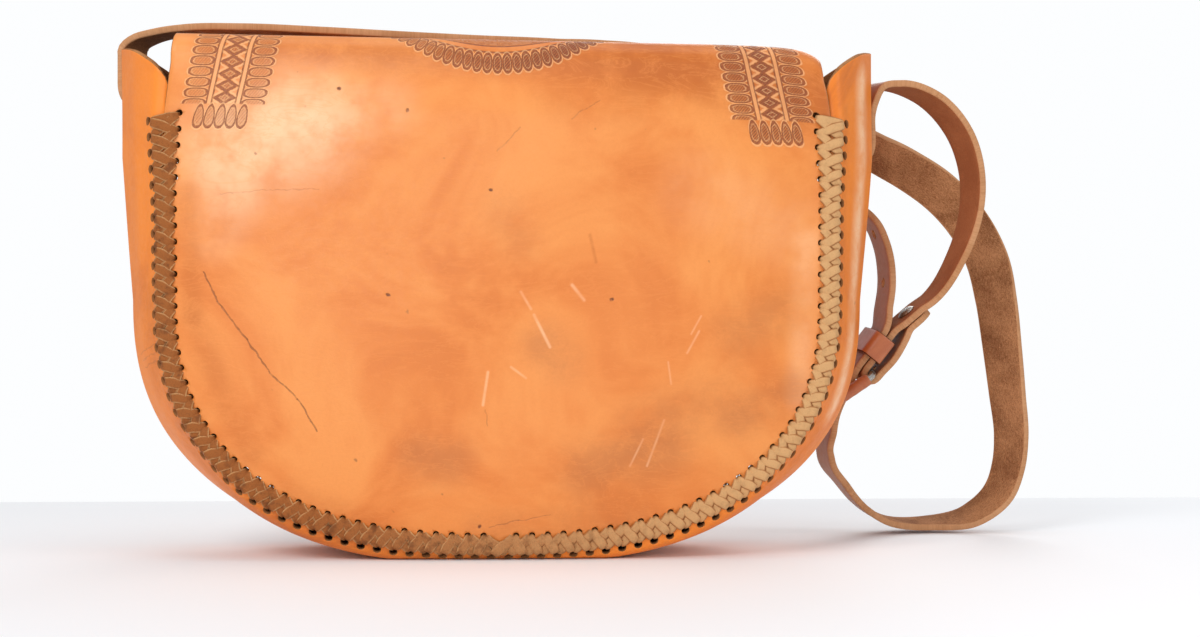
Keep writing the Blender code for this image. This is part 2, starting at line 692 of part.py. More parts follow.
# Stops of the long strap from over the left ear to the loop on the floor: span, depth, height
OVER_TOP_shares = (
    ((-1.1555, 0.292, 1.0075), (0.36, 0.93, 0.0)),
    ((-1.139, 0.268, 1.0185), (0.32, 0.94, 0.0)),
    ((-1.098, 0.262, 1.0315), (0.2, 0.98, 0.0)),
    ((-1.048, 0.237, 1.0395), (0.1, 1.0, 0.0)),
    ((-0.989, 0.21, 1.0445), (0.0, 1.0, 0.0)),
    ((-0.807, 0.21, 1.0475), (0.0, 1.0, 0.0)),
    ((-0.561, 0.237, 1.0425), (0.0, 1.0, 0.0)),
    ((-0.304, 0.316, 1.036), (0.0, 1.0, 0.0)),
    ((-0.071, 0.395, 1.031), (0.0, 1.0, 0.0)),
    ((0.175, 0.526, 1.028), (0.0, 1.0, 0.0)),
    ((0.319, 0.66, 1.024), (0.0, 0.99, -0.12)),
    ((0.47, 0.87, 1.012), (0.0, 0.93, -0.35)),
    ((0.643, 1.12, 0.985), (0.05, 0.75, -0.66)),
    ((0.821, 1.32, 0.94), (0.1, 0.4, -0.91)),
    ((1.0, 1.4, 0.895), (0.15, 0.2, -0.97)),
    ((1.143, 1.43, 0.853), (0.2, 0.45, -0.87)),
    ((1.261, 1.455, 0.82), (0.18, 0.6, -0.78)),
    ((1.372, 1.539, 0.785), (0.0, 0.5, -0.87)),
    ((1.482, 1.592, 0.739), (-0.45, 0.3, -0.84)),
    ((1.586, 1.645, 0.668), (-0.83, 0.2, -0.5)),
    ((1.65, 1.655, 0.59), (-0.92, 0.3, -0.2)),
    ((1.68, 1.66, 0.505), (-0.83, 0.55, 0.0)),
    ((1.702, 1.69, 0.405), (-0.73, 0.68, 0.0)),
    ((1.722, 1.724, 0.302), (-0.63, 0.77, 0.0)),
    ((1.737, 1.75, 0.21), (-0.55, 0.83, 0.05)),
    ((1.729, 1.775, 0.145), (-0.5, 0.86, 0.1)),
    ((1.7, 1.816, 0.089), (-0.42, 0.87, 0.2)),
    ((1.61, 1.895, 0.037), (-0.25, 0.93, 0.24)),
    ((1.469, 1.97, 0.0185), (-0.05, 0.98, 0.12)),
    ((1.321, 1.842, 0.0255), (0.0, 1.0, 0.03)),
    ((1.212, 1.632, 0.066), (0.0, 1.0, 0.0)),
    ((1.144, 1.474, 0.113), (-0.05, 1.0, 0.0)),
    ((1.094, 1.339, 0.155), (-0.12, 0.99, 0.0)),
    ((1.078, 1.208, 0.2), (-0.12, 0.99, 0.03)),
    ((1.083, 1.05, 0.238), (-0.1, 0.99, 0.05)),
)

# Stops of the tail that stands up behind the keeper
TAIL_shares = (
    ((1.262, 0.975, 0.488), (-0.12, 0.99, 0.05)),
    ((1.274, 1.024, 0.535), (-0.12, 0.99, 0.03)),
    ((1.273, 1.06, 0.58), (-0.12, 0.99, 0.0)),
    ((1.261, 1.103, 0.622), (-0.1, 0.99, 0.0)),
    ((1.236, 1.155, 0.662), (-0.1, 0.99, 0.0)),
    ((1.192, 1.208, 0.694), (-0.05, 1.0, 0.0)),
    ((1.121, 1.25, 0.715), (0.0, 1.0, 0.0)),
)

# Stops of the short strap's loop beside the right ear
SHORT_LOOP_shares = (
    ((1.169, 0.318, 0.908), (-0.38, 0.925, 0.0)),
    ((1.196, 0.36, 0.938), (-0.4, 0.92, 0.0)),
    ((1.259, 0.411, 0.945), (-0.45, 0.89, 0.0)),
    ((1.382, 0.503, 0.922), (-0.4, 0.91, 0.0)),
    ((1.495, 0.616, 0.848), (-0.33, 0.94, 0.0)),
    ((1.54, 0.7, 0.76), (-0.27, 0.96, 0.0)),
    ((1.542, 0.76, 0.7), (-0.25, 0.97, 0.0)),
    ((1.5, 0.837, 0.6), (-0.2, 0.98, 0.0)),
    ((1.405, 0.892, 0.505), (-0.12, 0.99, 0.05)),
)


def wrap_radius():
    return BUCKLE_WIRE + FIT_GAP + STRAP_LEATHER / 2


def tail_out():
    """How far the tail lies out of the short strap's mid face beside the keeper."""
    return wrap_radius() + STRAP_LEATHER + LAP_GAP


def lap_out(station):
    """How far the short strap's main layer lies out, along the straight lap round the rivet."""
    return LAP_OUT - LAP_LEAN * (station - RIVET_STATION)


def frame_direction():
    """The buckle's own length direction, in the buckle's axes as (along, out)."""
    return -math.cos(BUCKLE_TILT), math.sin(BUCKLE_TILT)


def under_bar_stop(along_share, depth):
    """A stop of the long strap in the buckle frame's plane, a depth below its face."""
    run, rise = frame_direction()
    along = BUCKLE_LENGTH * along_share
    return buckle_stop(run * along - rise * depth, rise * along + run * depth)


def long_strap_run():
    stops = []
    for share in LONG_LAP_shares:
        stops.append(strap_stop(-1, LONG_STRAP_FOOT + LONG_END_LAP * share))
    stops += [route(*pair) for pair in OVER_TOP_shares]
    below = (BUCKLE_COVER + FIT_GAP + STRAP_LEATHER / 2) * UNDER_BAR_share
    stops.append(under_bar_stop(1.0, below))
    stops.append(under_bar_stop(GATE_PLACE_share, below * GATE_DEPTH_share))
    stops.append(buckle_stop(-BUCKLE_WIRE, tail_out()))
    for share in TAIL_PLACE_shares:
        stops.append(buckle_stop(KEEPER_STATION * share, tail_out()))
    stops.append(buckle_stop(KEEPER_STATION * TAIL_EXIT_share, tail_out() + FIT_GAP))
    stops += [route(*pair) for pair in TAIL_shares]
    return smooth_stops(stops)


def short_strap_run():
    stops = []
    for share in SHORT_LAP_shares:
        stops.append(strap_stop(1, SHORT_STRAP_FOOT + SHORT_END_LAP * share))
    stops += [route(*pair) for pair in SHORT_LOOP_shares]
    reach = wrap_radius()
    lap = [RIVET_STATION + LAP_HALF * share for share in LAP_PLACE_shares]
    stops += [buckle_stop(station, lap_out(station)) for station in reversed(lap)]
    stops += [buckle_stop(KEEPER_STATION * place, reach * out) for place, out in MAIN_FACE_shares]
    for k in range(1, WRAP_STEPS):
        angle = math.pi * k / WRAP_STEPS
        stops.append(buckle_stop(-reach * math.sin(angle), reach * math.cos(angle)))
    stops += [buckle_stop(KEEPER_STATION * place, -reach * out) for place, out in BACK_FACE_shares]
    for station in lap[:3] + [FOLD_BACK_END]:
        stops.append(buckle_stop(station, lap_out(station) - STRAP_LEATHER - LAP_GAP))
    return smooth_stops(stops)


def punch_along(strap, run, group, name, first, count, pitch):
    """Round adjusting holes from the strap's free end back."""
    travelled = 0.0
    target = first
    made = 0
    backwards = list(reversed(run))
    for (a, across), (b, unused) in zip(backwards, backwards[1:]):
        length = (b - a).length
        while made < count and target <= travelled + length:
            spot = a.lerp(b, (target - travelled) / length)
            axis = (b - a).normalized().cross(across)
            hole = round_cutter(f"{name}_{made}", group, spot, axis, HOLE_RADIUS, STRAP_LEATHER + CUT_OVERRUN)
            cut(strap, hole)
            target += pitch
            made += 1
        travelled += length


def rivet_profile(stack):
    """A domed cap, a shank through the stack and a flat burr, from top to bottom."""
    top = stack / 2 + FIT_GAP
    profile = [(RIVET_CAP * wide, top + RIVET_CAP_HEIGHT * high) for wide, high in RIVET_DOME_shares]
    profile += [(RIVET_SHANK, top), (RIVET_SHANK, -top)]
    profile += [(RIVET_CAP * wide, -top + RIVET_CAP_HEIGHT * high) for wide, high in RIVET_BURR_shares]
    return profile


def axis_matrix(centre, axis):
    matrix = Vector((0, 0, 1)).rotation_difference(Vector(axis)).to_matrix().to_4x4()
    matrix.translation = centre
    return matrix


def add_ear_rivets(side, foot, prefix, parts, cutters, finish, strap, gusset):
    """Two rivets that hold a strap end to an ear, through both leathers."""
    middle, across, normal = ear_facet(side)
    stack = GUSSET_LEATHER + FIT_GAP + STRAP_LEATHER
    for k in range(2):
        centre = middle + normal * (stack / 2 - GUSSET_LEATHER)
        centre.z = foot + RIVET_INSET + RIVET_PITCH * k
        turned(f"{prefix}_rivet_{k + 1}", parts, rivet_profile(stack), finish, axis_matrix(centre, normal))
        hole = round_cutter(f"{prefix}_hole_{k + 1}", cutters, centre, normal, RIVET_HOLE, stack)
        cut(strap, hole)
        cut(gusset, hole)


# Buckle pieces

def frame_outline(steps):
    """The frame's bar as a rounded rectangle in its own plane: x along, y across."""
    half = BUCKLE_INSIDE_WIDTH / 2 + BUCKLE_COVER
    corners = ((0.0, -half), (BUCKLE_LENGTH, -half), (BUCKLE_LENGTH, half), (0.0, half))
    turns = ((math.pi, 1.5 * math.pi), (1.5 * math.pi, 2 * math.pi), (0.0, 0.5 * math.pi), (0.5 * math.pi, math.pi))
    points = []
    for (x, y), (start, end) in zip(corners, turns):
        radius = BUCKLE_CORNER
        centre_x = x + math.copysign(radius, BUCKLE_LENGTH / 2 - x)
        centre_y = y - math.copysign(radius, y)
        for k in range(steps + 1):
            angle = start + (end - start) * k / steps
            points.append((centre_x + radius * math.cos(angle), centre_y + radius * math.sin(angle), 0.0))
    return points


def frame_plane():
    """Matrix of the buckle frame: x from the hinge bar to the end bar, z out of its face."""
    axes = buckle_axes()
    run, rise = frame_direction()
    along = (axes.col[0].to_3d() * run + axes.col[2].to_3d() * rise).normalized()
    across = -axes.col[1].to_3d()
    return frame_matrix(axes.translation, along, across)


def build_buckle(parts, pivot, finishes):
    plane = frame_plane()
    outline = frame_outline(FRAME_CORNER_STEPS)
    bar = tube_mesh("buckle_frame", outline, BUCKLE_WIRE, True, False, BAR_SIDES)
    bar.transform(plane)
    frame = add_object("buckle_frame", bar, parts, finishes["metal"])
    set_origin(frame, pivot)
    sleeve = [point for point in outline if point[0] >= BUCKLE_CORNER]
    outer = tube_mesh("buckle_cover", sleeve, BUCKLE_COVER, False, False, BAR_SIDES)
    outer.transform(plane)
    cover = add_object("buckle_cover", outer, parts, finishes["trim"])
    thicken(cover, BUCKLE_COVER_WALL, -1.0)
    set_origin(cover, pivot)
    return frame, cover


def build_prong(parts, pivot, finishes):
    """A wire prong: an eye round the hinge bar and a finger that rests on the end bar."""
    ring = prong_line(0.0)
    points = []
    for k in range(PRONG_EYE_STEPS + 1):
        angle = PRONG_EYE_START + (math.pi / 2 - PRONG_EYE_START) * k / PRONG_EYE_STEPS
        points.append((ring * math.cos(angle), 0.0, ring * math.sin(angle)))
    for share in PRONG_FINGER_shares:
        points.append((BUCKLE_LENGTH * share, 0.0, prong_line(share)))
    points.append((BUCKLE_LENGTH + BUCKLE_COVER, 0.0, prong_line(1.0)))
    mesh = tube_mesh("buckle_prong", points, PRONG_WIRE, False, True, BAR_SIDES)
    mesh.transform(frame_plane())
    prong = add_object("buckle_prong", mesh, parts, finishes["metal"])
    set_origin(prong, pivot)
    return prong


def build_keeper(parts, finishes):
    """A leather band round the short strap and the tail."""
    axes = buckle_axes()
    low = wrap_radius() - STRAP_LEATHER / 2 - FIT_GAP
    high = tail_out() + STRAP_LEATHER / 2 + FIT_GAP * 2
    half = STRAP_WIDTH / 2 + FIT_GAP * 3
    radius = KEEPER_CORNER
    rows = []
    for edge in (-KEEPER_BAND / 2, KEEPER_BAND / 2):
        row = []
        corners = ((half, low), (half, high), (-half, high), (-half, low))
        for (y, z), turn in zip(corners, KEEPER_TURN_shares):
            centre_y = y - math.copysign(radius, y)
            centre_z = z + radius if z == low else z - radius
            for k in range(KEEPER_CORNER_STEPS + 1):
                angle = math.pi * (turn + 0.5 * k / KEEPER_CORNER_STEPS)
                spot = (KEEPER_STATION + edge, centre_y + radius * math.cos(angle), centre_z + radius * math.sin(angle))
                row.append(axes @ Vector(spot))
        row.append(row[0])
        rows.append(row)
    keeper = add_object("strap_keeper", grid_mesh("strap_keeper", rows), parts, finishes["trim"])
    thicken(keeper, KEEPER_LEATHER, 1.0)
    set_origin(keeper, axes @ Vector((KEEPER_STATION, 0.0, (low + high) / 2)))
    return keeper


def build_stud(parts, cutters, finishes, front_panel, flap):
    """A ball stud on the front panel, its screw from inside, and the flap's hole and slit."""
    y = HALF_DEPTH + pillow(0.0, STUD_HEIGHT)
    out = y + FIT_GAP
    neck = FLAP_STAND_OFF + PANEL_LEATHER
    matrix = axis_matrix(Vector((0.0, out, STUD_HEIGHT)), (0, 1, 0))
    top = neck + STUD_BALL * STUD_RISE_share
    profile = [(0.0, top)]
    for turn in STUD_BALL_TURN_shares:
        angle = math.pi * turn
        profile.append((STUD_BALL * math.cos(angle), top - STUD_BALL + STUD_BALL * math.sin(angle)))
    profile += [(STUD_NECK, neck * STUD_NECK_share), (STUD_NECK, STUD_FOOT_HEIGHT)]
    profile += [(STUD_FOOT, STUD_FOOT_HEIGHT), (STUD_FOOT, 0.0), (0.0, 0.0)]
    turned("closure_stud", parts, profile, finishes["brass"], matrix)
    depth = PANEL_LEATHER + FIT_GAP
    inner = axis_matrix(Vector((0.0, y, STUD_HEIGHT)), (0, 1, 0))
    screw = [(0.0, 0.0), (SCREW_SHANK, 0.0), (SCREW_SHANK, -depth)]
    screw += [(SCREW_HEAD * wide, -depth - SCREW_HEAD_HEIGHT * deep) for wide, deep in SCREW_HEAD_shares]
    turned("stud_screw", parts, screw, finishes["brass"], inner)
    reach = PANEL_LEATHER + CUT_OVERRUN
    hole = round_cutter("stud_screw_hole", cutters, Vector((0.0, y, STUD_HEIGHT)), (0, 1, 0), SCREW_SHANK + FIT_GAP, reach)
    cut(front_panel, hole)
    flap_y = flap_drop_y(0.0, STUD_HEIGHT)
    low = STUD_SLOT_LENGTH / 2 - STUD_SLOT_WIDTH / 2
    slot = frame_matrix(Vector((0.0, flap_y, STUD_HEIGHT - low)), (0, 0, 1), (1, 0, 0))
    cut(flap, slot_cutter("stud_slot", cutters, slot, STUD_SLOT_LENGTH, STUD_SLOT_WIDTH, reach))


def prong_line(along_share):
    """Height of the prong's finger over the frame's plane, at a share of the frame's length."""
    ring = BUCKLE_WIRE + FIT_GAP + PRONG_WIRE
    rest = BUCKLE_COVER + FIT_GAP + PRONG_WIRE
    return ring + (rest - ring) * min(max(along_share, 0.0), 1.0)


def prong_gate(run):
    """Axes of the hole where the prong's finger passes through the long strap."""
    inverse = frame_plane().inverted()
    for (a, across), (b, unused) in zip(run, run[1:]):
        start, end = inverse @ a, inverse @ b
        before = start.z - prong_line(start.x / BUCKLE_LENGTH)
        after = end.z - prong_line(end.x / BUCKLE_LENGTH)
        inside = 0.0 < start.x < BUCKLE_LENGTH and abs(start.y) < STRAP_WIDTH
        if inside and before * after <= 0.0:
            spot = a.lerp(b, before / (before - after))
            return frame_matrix(spot, b - a, across)
    return frame_plane()


def build_straps(parts, cutters, finishes):
    long_run = both_ends(long_strap_run())
    long_strap = add_object("strap_long", ribbon_mesh("strap_long", long_run, STRAP_WIDTH, True, True), parts,
                            finishes["strap"])
    thicken(long_strap, STRAP_LEATHER, 0.0)
    short_run = both_ends(short_strap_run())
    short_strap = add_object("strap_short", ribbon_mesh("strap_short", short_run, STRAP_WIDTH, True, True), parts,
                             finishes["strap"])
    thicken(short_strap, STRAP_LEATHER, 0.0)
    punch_along(long_strap, long_run, cutters, "tail_hole", HOLE_PITCH, HOLE_COUNT, HOLE_PITCH)
    gate = prong_gate(long_run)
    cut(long_strap, slot_cutter("prong_hole", cutters, gate, PRONG_HOLE_LENGTH, SLOT_WIDTH, STRAP_LEATHER))
    reach = wrap_radius() + STRAP_LEATHER / 2
    slot_spot = buckle_axes() @ Matrix.Translation((-FIT_GAP, 0.0, 0.0)) @ Matrix.Rotation(math.pi / 2, 4, "Y")
    cut(short_strap, slot_cutter("fold_slot", cutters, slot_spot, 2 * reach + SLOT_WIDTH, SLOT_WIDTH, reach))
    stack = 2 * STRAP_LEATHER + LAP_GAP
    axes = buckle_axes()
    middle = LAP_OUT - (STRAP_LEATHER + LAP_GAP) / 2
    along = axes.col[0].to_3d() - axes.col[2].to_3d() * LAP_LEAN
    rivet_axes = frame_matrix(axes @ Vector((RIVET_STATION, 0.0, middle)), along, axes.col[1].to_3d())
    turned("buckle_rivet", parts, rivet_profile(stack), finishes["metal"], rivet_axes)
    facing = rivet_axes.col[2].to_3d()
    cut(short_strap, round_cutter("buckle_rivet_hole", cutters, rivet_axes.translation, facing, RIVET_HOLE, stack))
    return long_strap, short_strap


def build_bag(parts, cutters, finishes):
    back = add_object("back_panel", grid_mesh("back_panel", panel_rows(-1, FOLD_HEIGHT, FOLD_SLOPE)), parts,
                      finishes["panel"])
    thicken(back, PANEL_LEATHER, 1.0)
    front = add_object("front_panel", grid_mesh("front_panel", panel_rows(1, FRONT_TOP, 0.0)), parts,
                       finishes["panel"])
    thicken(front, PANEL_LEATHER, -1.0)
    gusset = add_object("gusset", grid_mesh("gusset", gusset_rows()), parts, finishes["gusset"])
    thicken(gusset, GUSSET_LEATHER, -1.0)
    flap = add_object("flap", grid_mesh("flap", flap_rows()), parts, finishes["panel"])
    thicken(flap, PANEL_LEATHER, -1.0)
    pivot = Vector((0.0, -HALF_DEPTH - FOLD_PILLOW, FOLD_HEIGHT + FIT_GAP / 2))
    set_origin(flap, pivot)
    for name, side in (("back_lace", -1), ("front_lace", 1)):
        lace = add_object(name, lace_mesh(name, side), parts, finishes["lace"])
        thicken(lace, LACE_THICKNESS, 0.0)
    return front, gusset, flap


def main():
    clear_scene()
    parts = collection("laced_shoulder_bag")
    cutters = collection("cutters")
    finishes = {
        "panel": material("tooled_leather", (0.66, 0.27, 0.07), 0.42),
        "gusset": material("gusset_leather", (0.70, 0.29, 0.07), 0.42),
        "lace": material("raw_lace", (0.62, 0.42, 0.22), 0.75),
        "strap": material("strap_leather", (0.33, 0.15, 0.07), 0.6),
        "trim": material("dark_trim_leather", (0.30, 0.08, 0.02), 0.35),
        "metal": material("nickel_steel", (0.62, 0.60, 0.57), 0.3, 1.0),
        "brass": material("dull_brass", (0.60, 0.42, 0.16), 0.35, 1.0),
    }
    front, gusset, flap = build_bag(parts, cutters, finishes)
    long_strap, short_strap = build_straps(parts, cutters, finishes)
    add_ear_rivets(-1, LONG_STRAP_FOOT, "left_ear", parts, cutters, finishes["metal"], long_strap, gusset)
    add_ear_rivets(1, SHORT_STRAP_FOOT, "right_ear", parts, cutters, finishes["metal"], short_strap, gusset)
    pivot = buckle_axes().translation
    build_buckle(parts, pivot, finishes)
    build_prong(parts, pivot, finishes)
    build_keeper(parts, finishes)
    build_stud(parts, cutters, finishes, front, flap)


main()
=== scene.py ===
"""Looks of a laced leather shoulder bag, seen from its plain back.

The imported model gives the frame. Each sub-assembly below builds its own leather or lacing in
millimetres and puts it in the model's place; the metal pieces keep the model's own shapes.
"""

import logging
import math
from dataclasses import dataclass
from enum import Enum
from typing import Callable

import bmesh
import bpy
import numpy as np
from mathutils import Matrix, Vector
from mathutils.bvhtree import BVHTree


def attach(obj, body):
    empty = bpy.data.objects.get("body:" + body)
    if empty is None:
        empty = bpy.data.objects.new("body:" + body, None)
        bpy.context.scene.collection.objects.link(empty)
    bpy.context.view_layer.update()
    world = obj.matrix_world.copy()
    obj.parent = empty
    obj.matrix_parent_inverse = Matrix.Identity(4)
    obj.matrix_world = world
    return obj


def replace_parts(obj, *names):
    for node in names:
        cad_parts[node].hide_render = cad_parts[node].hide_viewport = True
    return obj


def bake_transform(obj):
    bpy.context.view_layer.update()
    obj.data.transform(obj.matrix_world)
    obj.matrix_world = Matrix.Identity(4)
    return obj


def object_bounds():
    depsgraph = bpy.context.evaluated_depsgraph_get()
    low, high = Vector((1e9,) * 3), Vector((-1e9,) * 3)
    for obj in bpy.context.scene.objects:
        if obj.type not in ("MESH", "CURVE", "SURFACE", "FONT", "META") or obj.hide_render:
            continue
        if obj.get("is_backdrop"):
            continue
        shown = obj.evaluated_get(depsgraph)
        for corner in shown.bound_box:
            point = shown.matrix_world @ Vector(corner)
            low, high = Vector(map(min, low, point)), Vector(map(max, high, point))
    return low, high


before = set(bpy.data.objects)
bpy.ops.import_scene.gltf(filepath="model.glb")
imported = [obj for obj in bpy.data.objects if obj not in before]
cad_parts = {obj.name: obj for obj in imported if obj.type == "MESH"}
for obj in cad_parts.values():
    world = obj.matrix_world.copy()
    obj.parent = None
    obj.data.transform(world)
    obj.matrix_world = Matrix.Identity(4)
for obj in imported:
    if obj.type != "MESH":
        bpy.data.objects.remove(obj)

LOG = logging.getLogger("bag")
MM = 0.001
PER_METRE = (1000.0, 1000.0, 1000.0)
PHOTO_WIDTH = 1200.0
PHOTO_HEIGHT = 637.0
FOCAL_PIXELS = 2133.0
VIEW_TURN = math.radians(2.7)
CAMERA_PLACE = Vector((-0.0002, -0.939, 0.102))

Array = np.ndarray
Colour = tuple[float, float, float, float]
Stop = tuple[Vector, Vector]


def corners(box: object) -> list[list[float]]:
    """A box as plain lists of numbers."""
    return [[float(value) for value in corner] for corner in box]


CAD_BOX = corners(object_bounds())


class Face(Enum):
    """The three faces of a cut leather: its slots on every leather mesh."""

    GRAIN = 0
    FLESH = 1
    EDGE = 2


# Sums and objects used by all the pieces


def unit(rows: Array) -> Array:
    """Rows brought to length 1."""
    return rows / np.maximum(np.linalg.norm(rows, axis=-1, keepdims=True), 1e-9)


def square_to(rows: Array, along: Array) -> Array:
    """Unit rows that stand square to other unit rows."""
    return unit(rows - along * np.sum(rows * along, axis=-1, keepdims=True))


def run_along(points: Array) -> Array:
    """The length from a path's first point to each of its points."""
    return np.concatenate([[0.0], np.cumsum(np.linalg.norm(np.diff(points, axis=0), axis=1))])


def sample(targets: Array, run: Array, rows: Array) -> Array:
    """Rows read off at places along a path, by its running length."""
    return np.stack([np.interp(targets, run, rows[:, k]) for k in range(rows.shape[1])], 1)


def between(value: Array, start: float, end: float) -> Array:
    """How far a value has come from start to end, from 0 to 1."""
    return np.clip((value - start) / (end - start), 0.0, 1.0)


def smooth(share: Array) -> Array:
    """A share from 0 to 1, eased at both ends."""
    return share * share * (3.0 - 2.0 * share)


def linked(name: str, data: bpy.types.ID) -> bpy.types.Object:
    """A new object in the scene.

    Args:
        name: its name.
        data: its mesh, light or camera.

    Returns:
        The object.
    """
    made = bpy.data.objects.new(name, data)
    bpy.context.scene.collection.objects.link(made)
    return made


# Shapes shared by the pieces


@dataclass(frozen=True)
class BagForm:
    """The bag's body in millimetres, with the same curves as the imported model."""

    half_depth: float = 38.0
    seam_half: float = 140.0
    seam_flare: float = 0.5
    seam_bottom: float = 6.5
    seam_top: float = 188.0
    crease_half: float = 160.0
    crease_flare: float = 5.0
    crease_undercut: float = 2.5
    corner: float = 110.0
    flare_top: float = 172.0
    ear_edge: float = 199.0
    ear_peak: float = 219.0
    fold_height: float = 209.0
    fold_half: float = 137.0
    fold_straight: float = 1.5
    fold_roll: float = 9.5
    fold_slope: float = -0.015
    flap_half: float = 133.5
    stand_off: float = 1.0
    top_fall: float = 3.0
    front_roll: float = 13.0
    flap_bottom: float = 32.0
    front_top: float = 196.0
    panel_leather: float = 2.8
    gusset_leather: float = 2.6
    fit_gap: float = 0.3
    swell: float = 7.0
    swell_power: float = 6.0
    fold_swell: float = 3.0
    flat_from: float = 186.0
    flat_at: float = 206.5
    u_power: float = 2.4
    ear_power: float = 1.5

    def arc(self, angle: Array, half: float, bottom: float) -> tuple[Array, Array]:
        """Points on the rounded U.

        Args:
            angle: 0 at its right side, pi/2 at the bottom, pi at the left side.
            half: half width of the U.
            bottom: height of its lowest point.

        Returns:
            The points' x and z.
        """
        power = 2.0 / self.u_power
        cosine = np.cos(angle)
        x = half * np.sign(cosine) * np.abs(cosine) ** power
        z = self.corner - (self.corner - bottom) * np.abs(np.sin(angle)) ** power
        return x, z

    def seam_at(self, z: Array) -> Array:
        """Half width of the panels at a height."""
        width = self.seam_half + self.seam_flare * between(z, self.corner, self.seam_top)
        return width + (self.fold_half - width) * between(z, self.seam_top, self.fold_height)

    def crease_at(self, z: Array) -> Array:
        """Half width of the gusset's crease at a height."""
        return self.crease_half + self.crease_flare * between(z, self.corner, self.flare_top)

    def near_seam(self, x: Array, z: Array) -> Array:
        """How near to its seam a place on a panel is, from 0 to 1.

        Args:
            x, z: places on the panel.

        Returns:
            One share a place.
        """
        across = np.abs(x) / self.seam_at(z)
        down = np.maximum(self.corner - z, 0.0) / (self.corner - self.seam_bottom)
        return np.minimum((across**self.u_power + down**self.u_power) ** (1.0 / self.u_power), 1.0)

    def pillow(self, x: Array, z: Array) -> Array:
        """How far a panel swells out over the plane of its seam.

        Args:
            x, z: places on the panel.

        Returns:
            Millimetres out of the seam's plane.
        """
        swell = self.swell * (1.0 - self.near_seam(x, z) ** self.swell_power)
        flat = smooth(between(z - self.fold_slope * x, self.flat_from, self.flat_at))
        return swell + (self.fold_swell - swell) * flat

    def ear_top(self, outward: Array) -> Array:
        """Height of an ear's top edge, from 0 at the seam to 1 at the crease."""
        rise = (1.0 - (1.0 - outward) ** self.ear_power) ** (1.0 / self.ear_power)
        return self.ear_edge + (self.ear_peak - self.ear_edge) * rise

    def flap_section(self) -> Array:
        """The flap's outer path over the top of the bag, as (y, z) rows.

        Returns:
            One point a row, from the back's fold line to the front.
        """
        back = self.half_depth + self.fold_swell
        start = self.fold_height + self.fit_gap
        roll_y = -back + self.fold_roll
        roll_z = start + self.fold_straight
        front_y = back + self.stand_off + self.panel_leather - self.front_roll
        front_z = roll_z + self.fold_roll - self.top_fall - self.front_roll
        first = np.radians(np.linspace(180.0, 90.0, 15))
        last = np.radians(np.linspace(90.0, 0.0, 13))
        rise = np.stack([roll_y + self.fold_roll * np.cos(first), roll_z + self.fold_roll * np.sin(first)], 1)
        share = np.linspace(0.0, 1.0, 16)[1:-1]
        flat_z = roll_z + self.fold_roll - self.top_fall * smooth(share)
        flat = np.stack([roll_y + (front_y - roll_y) * share, flat_z], 1)
        fall = np.stack([front_y + self.front_roll * np.cos(last), front_z + self.front_roll * np.sin(last)], 1)
        return np.concatenate([rise, flat, fall])


FORM = BagForm()


def spread(line: Array, shares: Array) -> Array:
    """Points at shares of a polyline's length.

    Args:
        line: the polyline's points, one a row.
        shares: places from 0 to 1.

    Returns:
        One point a row.
    """
    run = run_along(line)
    return sample(shares * run[-1], run, line)


def filled(top: Array, bottom: Array, left: Array, right: Array, across: Array, down: Array) -> Array:
    """A grid between four border lines.

    Args:
        top, bottom: points of the upper and lower border, one a column.
        left, right: points of the side borders, one a row.
        across, down: the columns' and rows' shares from 0 to 1.

    Returns:
        The grid's points as rows, columns and coordinates.
    """
    s = across[None, :, None]
    t = down[:, None, None]
    lines = (1 - t) * top[None] + t * bottom[None] + (1 - s) * left[:, None] + s * right[:, None]
    ends = (1 - s) * (1 - t) * top[0] + s * (1 - t) * top[-1] + (1 - s) * t * bottom[0] + s * t * bottom[-1]
    return lines - ends


def u_patch(top: Array, half: Callable, bottom: float, width: float, across: Array, down: Array) -> Array:
    """A U-shaped leather's grid in the x, z plane.

    Args:
        top: its top edge's points.
        half: half width at a height.
        bottom: height of its lowest point.
        width: half width at the corners' centre.
        across, down: the columns' and rows' shares.

    Returns:
        The grid's x and z.
    """

    def side(sign: int, start: Array) -> Array:
        """A side border from the top edge's end down into the corner.

        Args:
            sign: -1 for the left and 1 for the right.
            start: the top edge's end.

        Returns:
            The border's points.
        """
        heights = np.linspace(start[1], FORM.corner, 40)
        straight = np.stack([sign * half(heights), heights], 1)
        angles = np.linspace(0.0, math.pi / 4, 40)[1:]
        x, z = FORM.arc(angles, width, bottom)
        return spread(np.concatenate([straight, np.stack([sign * x, z], 1)]), down)

    x, z = FORM.arc(np.linspace(math.pi * 0.75, math.pi * 0.25, 121), width, bottom)
    low = spread(np.stack([x, z], 1), across)
    return filled(top, low, side(-1, top[0]), side(1, top[-1]), across, down)


def waves(u: Array, v: Array, seed: float) -> Array:
    """Slow unevenness of hand-worked leather, about 1 at most.

    Args:
        u, v: places in millimetres.
        seed: shifts the pattern.

    Returns:
        One number a place.
    """
    total = np.sin(u / 31.0 + seed) * np.sin(v / 27.0 + 1.7 * seed)
    total = total + 0.6 * np.sin(u / 17.0 - v / 23.0 + 2.3 * seed)
    return total / 1.6


